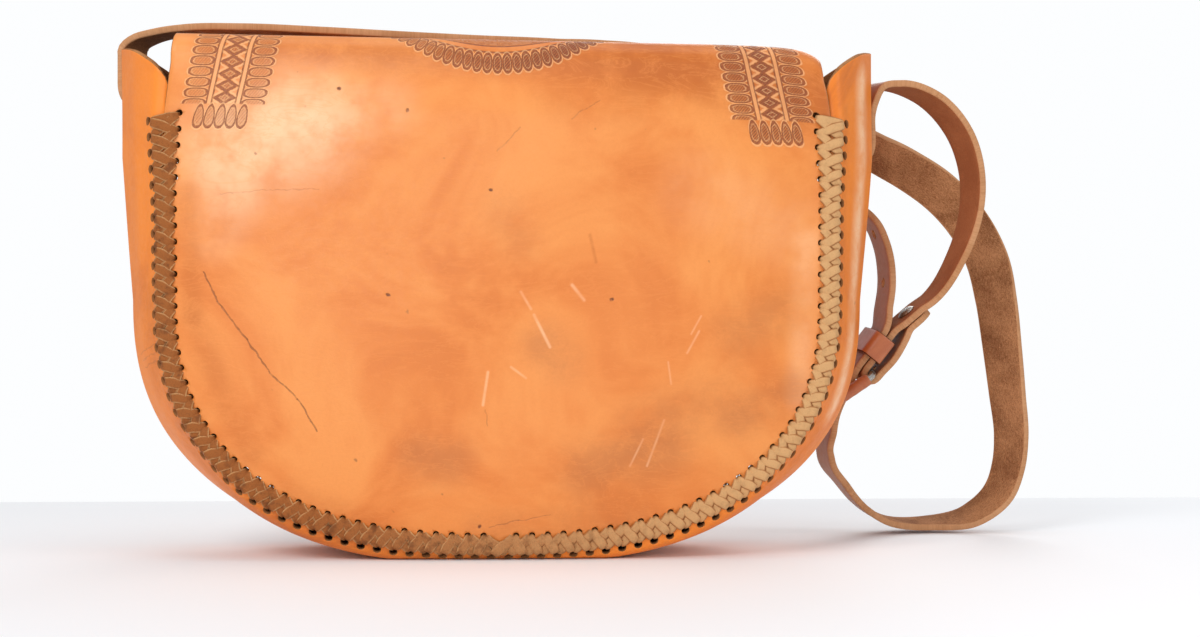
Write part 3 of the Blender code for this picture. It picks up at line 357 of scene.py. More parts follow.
@dataclass
class LeatherSheet:
    """A cut leather with thickness and softly rounded edges, made from a grid of outer points."""

    outer: Array
    place: Array
    thickness: float
    side: float
    bulge: float = 0.6
    rings: int = 4

    def normals(self) -> Array:
        """Unit normals on the grain side.

        Returns:
            One normal a grid point.
        """
        across = np.gradient(self.outer, axis=1)
        along = np.gradient(self.outer, axis=0)
        return unit(np.cross(across, along) * self.side)

    def border(self) -> tuple[Array, Array]:
        """Row and column numbers all round the grid.

        Returns:
            The row numbers and the column numbers.
        """
        rows, cols = self.outer.shape[:2]
        row = [0] * cols + list(range(1, rows)) + [rows - 1] * (cols - 1) + list(range(rows - 2, 0, -1))
        col = list(range(cols)) + [cols - 1] * (rows - 1) + list(range(cols - 2, -1, -1)) + [0] * (rows - 2)
        return np.array(row), np.array(col)

    def outward(self, normal: Array) -> Array:
        """The way out of the sheet at each border point.

        Args:
            normal: the sheet's normals.

        Returns:
            One unit way a border point.
        """
        rows, cols = self.outer.shape[:2]
        row, col = self.border()
        way = np.zeros((len(row), 3))
        for here, there, hit in (
            (self.outer[0, col], self.outer[1, col], row == 0),
            (self.outer[-1, col], self.outer[-2, col], row == rows - 1),
            (self.outer[row, 0], self.outer[row, 1], col == 0),
            (self.outer[row, -1], self.outer[row, -2], col == cols - 1),
        ):
            way = way + unit(here - there) * hit[:, None]
        return square_to(way, normal[row, col])

    def build(self, name: str) -> bpy.types.Object:
        """Make the object, with a face slot for grain, flesh and edge and a UV map in millimetres.

        Args:
            name: the object's name.

        Returns:
            The object.
        """
        rows, cols = self.outer.shape[:2]
        normal = self.normals()
        inner = self.outer - normal * self.thickness
        row, col = self.border()
        way = self.outward(normal)
        middle = (self.outer + inner)[row, col] / 2
        count = rows * cols
        points = [self.outer.reshape(-1, 3), inner.reshape(-1, 3)]
        for k in range(1, self.rings):
            turn = math.pi * k / self.rings
            lift = normal[row, col] * (math.cos(turn) * self.thickness / 2)
            points.append(middle + lift + way * (math.sin(turn) * self.bulge))
        index = np.arange(count).reshape(rows, cols)
        quads = np.stack([index[:-1, :-1], index[:-1, 1:], index[1:, 1:], index[1:, :-1]], 2).reshape(-1, 4)
        if self.side < 0:
            quads = quads[:, ::-1]
        loops = [index[row, col]]
        loops += [2 * count + len(row) * k + np.arange(len(row)) for k in range(self.rings - 1)]
        loops.append(index[row, col] + count)
        strips = []
        for upper, lower in zip(loops, loops[1:]):
            strip = np.stack([upper, np.roll(upper, -1), np.roll(lower, -1), lower], 1)
            strips.append(strip[:, ::-1] if self.side > 0 else strip)
        run = np.cumsum(np.linalg.norm(middle - np.roll(middle, 1, axis=0), axis=1))
        flat = self.place.reshape(-1, 2)
        places = [flat[quads], flat[quads[:, ::-1]]]
        for k in range(len(strips)):
            depths = (self.thickness * k / self.rings, self.thickness * (k + 1) / self.rings)
            start, end = (np.stack([run, np.full(len(run), depth)], 1) for depth in depths)
            turned = np.stack([start, np.roll(start, -1, axis=0), np.roll(end, -1, axis=0), end], 1)
            places.append(turned[:, ::-1] if self.side > 0 else turned)
        faces = np.concatenate([quads, quads[:, ::-1] + count, *strips])
        slots = [Face.GRAIN.value] * len(quads) + [Face.FLESH.value] * len(quads)
        slots += [Face.EDGE.value] * (len(faces) - 2 * len(quads))
        return mesh_object(name, np.concatenate(points), faces, np.concatenate(places), slots)


def mesh_object(name: str, points: Array, faces: Array, places: Array, slots: list[int]) -> bpy.types.Object:
    """A smooth mesh from points in millimetres.

    Args:
        name: the object's name.
        points: one point a row.
        faces: corner numbers of each face, one face a row.
        places: the corners' places on the leather, in millimetres.
        slots: each face's slot.

    Returns:
        The linked object.
    """
    mesh = bpy.data.meshes.new(name)
    mesh.from_pydata((points * MM).tolist(), [], [list(face) for face in faces])
    layer = mesh.uv_layers.new(name="leather")
    layer.data.foreach_set("uv", (places.reshape(-1, 2) * MM).astype(np.float32).ravel())
    mesh.polygons.foreach_set("material_index", np.array(slots, dtype=np.int32))
    mesh.shade_smooth()
    mesh.update()
    return linked(name, mesh)


@dataclass
class Sweep:
    """A closed section carried along a run of frames, with both ends closed."""

    centres: Array
    across: Array
    facing: Array
    section: Array
    slots: tuple[int, ...]
    widths: Array

    def build(self, name: str) -> bpy.types.Object:
        """Make the swept object."""
        return mesh_object(name, *self.arrays())

    def arrays(self) -> tuple:
        """The points, faces, places in millimetres along and round it, and slots.

        Returns:
            The four arrays that a mesh is made from.
        """
        count, size = len(self.centres), len(self.section)
        wide = self.section[None, :, 0, None] * self.widths[:, None, None]
        points = self.centres[:, None] + self.across[:, None] * wide
        points = points + self.facing[:, None] * self.section[None, :, 1, None]
        index = np.arange(count * size).reshape(count, size)
        after = np.roll(index, -1, axis=1)
        quads = np.stack([index[:-1], after[:-1], after[1:], index[1:]], 2)
        run = run_along(self.centres)
        offset = self.section[:, 0]
        turn = np.roll(offset, -1)
        rows = len(run) - 1
        place = np.zeros((rows, size, 4, 2))
        place[:, :, 0, 0] = place[:, :, 3, 0] = offset[None]
        place[:, :, 1, 0] = place[:, :, 2, 0] = turn[None]
        place[:, :, 0, 1] = place[:, :, 1, 1] = run[:-1, None]
        place[:, :, 2, 1] = place[:, :, 3, 1] = run[1:, None]
        faces = [list(face) for face in quads.reshape(-1, 4)]
        places = [place.reshape(-1, 2)]
        slots = list(np.tile(np.array(self.slots), rows))
        for ring, station in ((index[0][::-1], 0), (index[-1], count - 1)):
            faces.append(list(ring))
            ends = np.stack([offset, np.full(size, run[station])], 1)
            places.append(ends[::-1] if station == 0 else ends)
            slots.append(Face.EDGE.value if max(self.slots) else 0)
        return points.reshape(-1, 3), faces, np.concatenate(places), slots


def gathered(parts: list[tuple]) -> tuple:
    """Put the arrays of several built parts together as one mesh's.

    Args:
        parts: each part's points, faces, places and slots.

    Returns:
        The same four for the whole mesh.
    """
    points, faces, places, slots = [], [], [], []
    count = 0
    for some_points, some_faces, some_places, some_slots in parts:
        points.append(some_points)
        faces += [[corner + count for corner in face] for face in some_faces]
        places.append(some_places)
        slots += list(some_slots)
        count += len(some_points)
    return np.concatenate(points), faces, np.concatenate(places), slots


def prism_faces(count: int) -> list[list[int]]:
    """The sides and both ends of a prism, whose low ring's points come before its high ring's."""
    sides = [[k, (k + 1) % count, count + (k + 1) % count, count + k] for k in range(count)]
    return [*sides, list(range(count - 1, -1, -1)), list(range(count, 2 * count))]


def subtract(piece: bpy.types.Object, tool: bpy.types.Object) -> None:
    """Cut a tool's shape out of a leather and throw the tool away.

    Args:
        piece: the leather.
        tool: the shape to take away.
    """
    cut = piece.modifiers.new(tool.name, "BOOLEAN")
    cut.operation = "DIFFERENCE"
    cut.solver = "EXACT"
    cut.object = tool
    apply_all(piece)
    bpy.data.objects.remove(tool, do_unlink=True)


def clear_cut(piece: bpy.types.Object, axes: Matrix, length: float, width: float, depth: float = 12.0) -> None:
    """Cut a round-ended slot through a leather.

    Args:
        piece: the leather, with its three materials.
        axes: the slot's place in millimetres; it is long in x and is cut along z.
        length, width: the slot's size.
        depth: how far the cut reaches to both sides.
    """
    half = (length - width) / 2
    count = 32
    angles = np.linspace(0.0, 2 * math.pi, count + 1)[:-1] + math.pi / count
    x = np.cos(angles) * width / 2 + np.sign(np.cos(angles)) * half
    y = np.sin(angles) * width / 2
    low = np.stack([x, y, np.full(count, -depth)], 1)
    rings = np.concatenate([low, low + np.array([0.0, 0.0, 2 * depth])])
    faces = prism_faces(count)
    mesh = bpy.data.meshes.new("slot")
    mesh.from_pydata([(axes @ Vector(spot)) * MM for spot in rings], [], faces)
    for kind in Face:
        mesh.materials.append(piece.data.materials[kind.value])
    mesh.polygons.foreach_set("material_index", [Face.EDGE.value] * len(faces))
    subtract(piece, linked("slot", mesh))


@dataclass(frozen=True)
class Punch:
    """A lace hole.

    It has the place where it enters the leather, the way out of the leather, the way to the
    lace's other end, and its size.
    """

    centre: Vector
    facing: Vector
    way: Vector
    long: float
    wide: float
    corners: int = 14
    slimmer: float = 0.2
    inward: float = 5.0
    outward: float = 2.5

    def arrays(self) -> tuple:
        """The hole's cutter, a rounded pin through the leather.

        Returns:
            The four arrays that a mesh is made from.
        """
        way = (self.way - self.facing * self.way.dot(self.facing)).normalized()
        aside = self.facing.cross(way)
        ring = []
        for k in range(self.corners):
            angle = 2 * math.pi * k / self.corners
            slim = 1.0 - self.slimmer * math.cos(angle)
            along, side = math.cos(angle) * self.long / 2, math.sin(angle) * self.wide / 2 * slim
            ring.append(self.centre + way * along + aside * side)
        low = [spot - self.facing * self.inward for spot in ring]
        high = [spot + self.facing * self.outward for spot in ring]
        faces = prism_faces(self.corners)
        places = np.zeros((sum(len(face) for face in faces), 2))
        points = np.array([tuple(spot) for spot in low + high])
        return points, faces, places, [Face.EDGE.value] * len(faces)


def pierce(piece: bpy.types.Object, punches: list[Punch]) -> None:
    """Cut every lace hole of a leather at once.

    Args:
        piece: the leather, with its three materials.
        punches: its holes.
    """
    tool = mesh_object("punches", *gathered([punch.arrays() for punch in punches]))
    for kind in Face:
        tool.data.materials.append(piece.data.materials[kind.value])
    subtract(piece, tool)


def apply_all(piece: bpy.types.Object) -> None:
    """Turn a piece's modifiers into its mesh.

    Args:
        piece: the object.
    """
    bpy.context.view_layer.update()
    graph = bpy.context.evaluated_depsgraph_get()
    mesh = bpy.data.meshes.new_from_object(piece.evaluated_get(graph), preserve_all_data_layers=True, depsgraph=graph)
    piece.modifiers.clear()
    old = piece.data
    for finish in list(old.materials)[len(mesh.materials) :]:
        mesh.materials.append(finish)
    piece.data = mesh
    bpy.data.meshes.remove(old)


# Finishes


class NodeBench:
    """Places and joins the nodes of one material or node group."""

    def __init__(self, tree: bpy.types.NodeTree) -> None:
        """Work on one node tree."""
        self.tree = tree

    def node(self, kind: str, feeds: dict | None = None, **settings: object) -> bpy.types.Node:
        """Add a node.

        Args:
            kind: the node's type.
            feeds: values or sockets for its inputs, by name or number.
            settings: its own options.

        Returns:
            The node.
        """
        made = self.tree.nodes.new(kind)
        for key, value in settings.items():
            setattr(made, key, value)
        self.join(made, feeds or {})
        return made

    def join(self, node: bpy.types.Node, feeds: dict) -> None:
        """Feed several inputs of a node, by name or number."""
        for key, value in feeds.items():
            self.feed(node.inputs[key], value)

    def feed(self, socket: bpy.types.NodeSocket, value: object) -> None:
        """Join a socket to a value or to another socket.

        Args:
            socket: the input.
            value: a number, colour, vector or socket.
        """
        if isinstance(value, bpy.types.NodeSocket):
            self.tree.links.new(value, socket)
        else:
            socket.default_value = value

    def math(self, operation: str, *values: object) -> bpy.types.NodeSocket:
        """The result of one sum on numbers."""
        return self.node("ShaderNodeMath", dict(enumerate(values)), operation=operation).outputs[0]

    def vector(self, operation: str, *values: object) -> bpy.types.NodeSocket:
        """The result of one sum on vectors."""
        return self.node("ShaderNodeVectorMath", dict(enumerate(values)), operation=operation).outputs[0]

    def add(self, a: object, b: object) -> bpy.types.NodeSocket:
        """a + b."""
        return self.math("ADD", a, b)

    def less(self, a: object, b: object) -> bpy.types.NodeSocket:
        """a - b."""
        return self.math("SUBTRACT", a, b)

    def times(self, a: object, b: object) -> bpy.types.NodeSocket:
        """a * b."""
        return self.math("MULTIPLY", a, b)

    def most(self, *values: object) -> bpy.types.NodeSocket:
        """The largest of several numbers.

        Args:
            values: numbers or sockets.

        Returns:
            The result's socket.
        """
        result = values[0]
        for value in values[1:]:
            result = self.math("MAXIMUM", result, value)
        return result

    def size(self, value: object) -> bpy.types.NodeSocket:
        """A number without its sign."""
        return self.math("ABSOLUTE", value)

    def ease(
        self, value: object, start: float, end: float, low: float = 0.0, high: float = 1.0
    ) -> bpy.types.NodeSocket:
        """A smooth step from low at start to high at end; start may lie above end.

        Args:
            value: the number.
            start, end: where the step starts and ends.
            low, high: its values there.

        Returns:
            The result's socket.
        """
        if start > end:
            start, end, low, high = end, start, high, low
        feeds = {"Value": value, "From Min": start, "From Max": end, "To Min": low, "To Max": high}
        return self.node("ShaderNodeMapRange", feeds, interpolation_type="SMOOTHSTEP").outputs["Result"]

    def every(self, value: object, pitch: float) -> bpy.types.NodeSocket:
        """Distance from the middle of a repeated step, from minus to plus half a pitch."""
        part = self.math("FRACT", self.math("DIVIDE", value, pitch))
        return self.times(self.less(part, 0.5), pitch)

    def mix(self, share: object, first: object, second: object) -> bpy.types.NodeSocket:
        """Blend two colours by a share."""
        feeds = {0: share, 6: first, 7: second}
        return self.node("ShaderNodeMix", feeds, data_type="RGBA").outputs[2]

    def stain(self, tone: object, tint: object, mask: object, amount: float) -> bpy.types.NodeSocket:
        """A tone changed towards a tint by an amount of a mask."""
        return self.mix(self.times(mask, amount), tone, tint)

    def noise(
        self, place: object, scale: float, detail: float = 3.0, rough: float = 0.55, bend: float = 0.0
    ) -> bpy.types.NodeSocket:
        """Soft noise from 0 to 1."""
        feeds = {"Vector": place, "Scale": scale, "Detail": detail, "Roughness": rough, "Distortion": bend}
        return self.node("ShaderNodeTexNoise", feeds).outputs[0]

    def cells(self, place: object, scale: float) -> bpy.types.NodeSocket:
        """Distance from the nearest seed of a cell pattern."""
        return self.node("ShaderNodeTexVoronoi", {"Vector": place, "Scale": scale}).outputs["Distance"]

    def parts(self, place: object) -> list[bpy.types.NodeSocket]:
        """The three numbers of a vector."""
        return list(self.node("ShaderNodeSeparateXYZ", {0: place}).outputs)

    def stretch(self, place: object, x: float, y: float, z: float) -> bpy.types.NodeSocket:
        """A place scaled along its axes."""
        return self.vector("MULTIPLY", place, (x, y, z))

    def leather_place(self) -> bpy.types.NodeSocket:
        """The place on the cut leather, in millimetres."""
        return self.stretch(self.node("ShaderNodeUVMap", uv_map="leather").outputs[0], *PER_METRE)

    def object_place(self) -> bpy.types.NodeSocket:
        """The place in the object's own space, in millimetres."""
        return self.stretch(self.node("ShaderNodeTexCoord").outputs["Object"], *PER_METRE)

    def raised(self, height: object, strength: float, distance: float) -> bpy.types.NodeSocket:
        """Normals bent by a height."""
        feeds = {"Strength": strength, "Distance": distance, "Height": height}
        return self.node("ShaderNodeBump", feeds).outputs[0]


class Effect(Enum):
    """The node groups that the materials share."""

    GRAIN = "leather_grain"
    NAP = "suede_nap"
    MARK = "line_mark"
    TOOLING = "stamped_ornament"


@dataclass(frozen=True)
class StampForm:
    """Where the stamped rows lie on the leather, in millimetres."""

    side_rise: float = 1.25
    band_at: float = 104.8
    band_middle: float = 65.0
    band_half: float = 85.0
    lean: float = 0.21
    lean_from: float = 30.0
    hatch: float = 0.95
    bar_at: float = 6.1
    diamond_step: float = 5.1
    oval_at: float = 12.4
    oval_step: float = 4.5
    foot_at: float = 90.6
    petal_step: float = 4.6
    sun_left: float = 1.0
    sun_height: float = 62.5


STAMPS = StampForm()


class EffectShelf:
    """Builds each shared node group once and hands it to the materials."""

    def __init__(self) -> None:
        """Start with an empty shelf."""
        self.made: dict[Effect, bpy.types.NodeTree] = {}

    def group(self, effect: Effect) -> bpy.types.NodeTree:
        """The node group for an effect, built on first use.

        Args:
            effect: which one.

        Returns:
            The node group.
        """
        if effect not in self.made:
            build = {
                Effect.GRAIN: self.leather_grain,
                Effect.NAP: self.suede_nap,
                Effect.MARK: self.line_mark,
                Effect.TOOLING: self.stamped_ornament,
            }[effect]
            self.made[effect] = build()
        return self.made[effect]

    def place(self, bench: NodeBench, effect: Effect, **feeds: object) -> bpy.types.Node:
        """Put an effect into a material.

        Args:
            bench: the material's bench.
            effect: which node group.
            feeds: its input values by name.

        Returns:
            The group node.
        """
        made = bench.node("ShaderNodeGroup", node_tree=self.group(effect))
        bench.join(made, feeds)
        return made

    def line(self, bench: NodeBench, place: object, start: tuple, end: tuple, width: float) -> bpy.types.Node:
        """Put a mark between two places in millimetres into a material."""
        ends = {"From": (*start, 0.0), "To": (*end, 0.0)}
        return self.place(bench, Effect.MARK, Place=place, Width=width, **ends)

    @staticmethod
    def start(
        effect: Effect, inputs: dict[str, str], outputs: tuple[str, ...]
    ) -> tuple[NodeBench, dict, bpy.types.Node]:
        """A new group with its sockets.

        Args:
            effect: names the group.
            inputs: socket types by name.
            outputs: names of the numbers it puts out.

        Returns:
            The bench, the input sockets by name and the output node.
        """
        tree = bpy.data.node_groups.new(effect.value, "ShaderNodeTree")
        for name, kind in inputs.items():
            tree.interface.new_socket(name=name, in_out="INPUT", socket_type=kind)
        for name in outputs:
            tree.interface.new_socket(name=name, in_out="OUTPUT", socket_type="NodeSocketFloat")
        bench = NodeBench(tree)
        enter = bench.node("NodeGroupInput")
        leave = bench.node("NodeGroupOutput")
        return bench, {socket.name: socket for socket in enter.outputs if socket.name}, leave

    def leather_grain(self) -> bpy.types.NodeTree:
        """Fine pores, hair cells and slow clouding; places are in millimetres.

        Returns:
            The node group.
        """
        outputs = ("Height", "Clouds", "Pores", "Veins")
        bench, given, leave = self.start(Effect.GRAIN, {"Place": "NodeSocketVector"}, outputs)
        place = given["Place"]
        fine = bench.cells(place, 1.1)
        soft = bench.noise(place, 0.55, 4.0, 0.6)
        height = bench.add(bench.times(fine, 0.35), bench.times(soft, 0.75))
        clouds = bench.noise(place, 0.016, 4.0, 0.62, 0.6)
        spots = bench.noise(place, 0.14, 2.0, 0.5)
        pores = bench.ease(spots, 0.735, 0.79)
        slant = {"Vector": place, "Rotation": (0.0, 0.0, 0.9), "Scale": (0.3, 1.0, 1.0)}
        web = bench.noise(bench.node("ShaderNodeMapping", slant).outputs[0], 0.11, 5.0, 0.62, 1.6)
        veins = bench.ease(bench.size(bench.less(web, 0.5)), 0.035, 0.0)
        bench.join(leave, {"Height": height, "Clouds": clouds, "Pores": pores, "Veins": veins})
        return bench.tree

    def suede_nap(self) -> bpy.types.NodeTree:
        """The fibres and blotches of a leather's flesh side; places are in millimetres.

        Returns:
            The node group.
        """
        bench, given, leave = self.start(Effect.NAP, {"Place": "NodeSocketVector"}, ("Height", "Fibres", "Blotches"))
        place = given["Place"]
        drawn = bench.stretch(place, 1.0, 0.45, 1.0)
        fibres = bench.noise(drawn, 1.5, 5.0, 0.72, 0.8)
        tufts = bench.noise(place, 0.45, 4.0, 0.7, 1.0)
        blotches = bench.noise(place, 0.055, 3.0, 0.55, 0.4)
        height = bench.add(bench.times(fibres, 0.7), bench.times(tufts, 0.6))
        bench.join(leave, {"Height": height, "Fibres": fibres, "Blotches": blotches})
        return bench.tree

    def line_mark(self) -> bpy.types.NodeTree:
        """A thin scratch, crease or dot between two places, 1 on the line and 0 off it.

        Returns:
            The node group.
        """
        inputs = dict.fromkeys(("Place", "From", "To"), "NodeSocketVector") | {"Width": "NodeSocketFloat"}
        bench, given, leave = self.start(Effect.MARK, inputs, ("Mask", "Soft"))
        run = bench.vector("SUBTRACT", given["To"], given["From"])
        reach = bench.vector("SUBTRACT", given["Place"], given["From"])
        covered, whole = (
            bench.node("ShaderNodeVectorMath", {0: way, 1: run}, operation="DOT_PRODUCT").outputs["Value"]
            for way in (reach, run)
        )
        share = bench.math("DIVIDE", covered, bench.most(whole, 0.0001))
        share = bench.math("MINIMUM", bench.most(share, 0.0), 1.0)
        foot = bench.node("ShaderNodeVectorMath", {0: run, "Scale": share}, operation="SCALE").outputs[0]
        away = bench.vector("SUBTRACT", reach, foot)
        gap = bench.node("ShaderNodeVectorMath", {0: away}, operation="LENGTH").outputs["Value"]
        ratio = bench.math("DIVIDE", gap, given["Width"])
        bench.join(leave, {"Mask": bench.ease(ratio, 1.0, 0.35), "Soft": bench.ease(ratio, 1.0, 0.05)})
        return bench.tree

    def stamped_ornament(self) -> bpy.types.NodeTree:
        """Two hand-stamped bands and a sun ring of petals, over the fold of the bag.

        The place is in millimetres: x across the bag, y up the back and over the fold.

        Returns:
            The node group.
        """
        outputs = ("Press", "Rim", "Pebble")
        bench, given, leave = self.start(Effect.TOOLING, {"Place": "NodeSocketVector"}, outputs)
        form = STAMPS
        u, v = bench.parts(given["Place"])[:2]
        up = bench.add(v, bench.times(bench.math("SIGN", u), form.side_rise))
        lean = bench.times(bench.most(bench.less(form.lean_from, up), 0.0), form.lean)
        p = bench.less(bench.size(u), bench.add(lean, form.band_at))
        reach = bench.size(p)
        inside = bench.size(bench.less(up, form.band_middle))
        band = bench.ease(inside, form.band_half + 0.8, form.band_half)

        turned = bench.node("ShaderNodeMapping", {"Vector": given["Place"], "Rotation": (0.0, 0.0, 0.7)})
        across_lines = bench.every(bench.parts(turned.outputs[0])[0], form.hatch)
        hatch = bench.ease(bench.size(across_lines), 0.12, 0.3)
        ragged = bench.times(bench.less(bench.noise(given["Place"], 0.8, 3.0, 0.6), 0.5), 0.5)
        # The stamps' floors are pressed and darkened less towards the left: partly their relief, partly a painted
        # reflection that pales the left side.
        fill_depth_and_left_glare = bench.ease(u, -40.0, 40.0, 1.0, 2.2)

        def shell(e: object, fill: float) -> tuple[object, object]:
            """A stamp's pressed outline and floor, and its raised rims.

            Args:
                e: a field that is 1 on the stamp's outline and less within it.
                fill: how deep its floor is pressed.

            Returns:
                The pressed part and the raised part.
            """
            e = bench.add(e, ragged)
            line = bench.times(bench.ease(e, 0.62, 0.82), bench.ease(e, 1.34, 1.12))
            hatched = bench.times(bench.ease(e, 1.05, 0.9), bench.ease(hatch, 0.0, 1.0, fill, fill * 0.55))
            rim = bench.times(bench.ease(e, 1.2, 1.42), bench.ease(e, 2.0, 1.6))
            loop = bench.times(bench.ease(e, 0.34, 0.46), bench.ease(e, 0.66, 0.54))
            return bench.most(line, bench.times(hatched, fill_depth_and_left_glare)), bench.most(rim, bench.times(loop, 0.8))

        def power(value: object, scale: float, sharp: float) -> object:
            """A rounded distance share."""
            return bench.math("POWER", bench.math("DIVIDE", bench.size(value), scale), sharp)

        def rays(turn: object, count: float, pitch: float) -> object:
            """Distance across the nearest of several rays."""
            return bench.times(bench.every(bench.times(turn, count / (2 * math.pi)), 1.0), pitch)

        bar = bench.size(bench.less(reach, form.bar_at))
        groove = bench.times(bench.ease(bench.size(bench.less(bar, 1.1)), 0.45, 0.15), band)
        ridge = bench.times(bench.ease(bar, 1.0, 0.6), band)
        diamond = bench.add(power(p, 4.0, 1.0), power(bench.every(up, form.diamond_step), 2.35, 1.0))
        bead = bench.times(bench.ease(reach, 5.2, 4.8), band)
        oval_u, oval_v = bench.less(reach, form.oval_at), bench.every(up, form.oval_step)
        oval = bench.add(power(oval_u, 4.7, 2.8), power(oval_v, 1.9, 2.6))
        row = bench.times(bench.ease(bench.less(reach, 7.3), 0.0, 0.1), band)
        foot = bench.less(inside, form.foot_at)
        taper = bench.less(1.0, bench.times(foot, -0.05))
        petal_u = bench.math("DIVIDE", bench.every(bench.add(p, form.petal_step / 2), form.petal_step), taper)
        petal = bench.add(power(petal_u, 1.95, 2.0), power(foot, 4.7, 2.4))
        ends = bench.ease(reach, 11.6, 11.4)
        u1, v1 = bench.add(u, form.sun_left), bench.less(v, form.sun_height)
        radius = bench.math("SQRT", bench.add(bench.times(u1, u1), bench.times(v1, v1)))
        turn = bench.math("ARCTAN2", v1, u1)
        sun = bench.add(power(rays(turn, 94.0, 4.15), 1.85, 2.0), power(bench.less(radius, 62.2), 4.0, 2.4))
        inner = bench.add(power(rays(turn, 36.0, 4.4), 1.8, 2.0), power(bench.less(radius, 25.0), 3.8, 2.4))
        field = bench.times(bench.ease(radius, 54.2, 53.6), bench.ease(radius, 30.0, 30.6))
        presses, rims = [groove, bench.times(field, 0.55)], [bench.times(ridge, 0.8)]
        for ring, width in ((57.6, 0.55), (54.4, 0.55), (29.8, 0.5)):
            presses.append(bench.ease(bench.size(bench.less(radius, ring)), width, 0.2))
        for stamp, fill, area in (
            (diamond, 0.7, bead),
            (oval, 0.42, row),
            (petal, 0.5, ends),
            (sun, 0.8, 1.0),
            (inner, 0.8, 1.0),
        ):
            pressed, raised = shell(stamp, fill)
            presses.append(bench.times(pressed, area))
            rims.append(bench.times(raised, area))
        pebble = bench.times(field, bench.ease(bench.cells(given["Place"], 0.62), 0.28, 0.55))
        bench.join(leave, {"Press": bench.most(*presses), "Rim": bench.most(*rims), "Pebble": pebble})
        return bench.tree


SHELF = EffectShelf()


def colour(red: float, green: float, blue: float) -> Colour:
    """A plain colour from its three linear shares."""
    return (red, green, blue, 1.0)


# Dark of the marks: a scratch's own colour, and painted shade in pin holes and creases.
MARK_DARK_AND_SHADE = colour(0.17, 0.045, 0.012)
PORE = colour(0.16, 0.045, 0.012)
PRESSED = colour(0.25, 0.062, 0.018)
BURNISHED = colour(0.95, 0.50, 0.22)
PEBBLED = colour(0.55, 0.20, 0.06)
BLOT = colour(0.06, 0.035, 0.025)


def new_paint(name: str) -> tuple[bpy.types.Material, NodeBench, bpy.types.Node]:
    """A new material, its bench and its shader.

    Args:
        name: the material's name.

    Returns:
        The material, the bench and the shader.
    """
    made = bpy.data.materials.new(name)
    made.use_nodes = True
    return made, NodeBench(made.node_tree), made.node_tree.nodes["Principled BSDF"]


@dataclass(frozen=True)
class Mark:
    """A scratch, crease or pin hole on the back, between two places in millimetres; the darkening in creases and pin
    holes is painted shade.
    """

    start: tuple[float, float]
    end: tuple[float, float]
    width: float
    depth: float = 1.0


@dataclass(frozen=True)
class Patch:
    """A soft area or band of the back that is paler or darker, between two places in millimetres: a stain, a darker
    tone, a painted highlight or painted shade.
    """

    start: tuple[float, float]
    end: tuple[float, float]
    reach: float
    tint: Colour
    amount: float


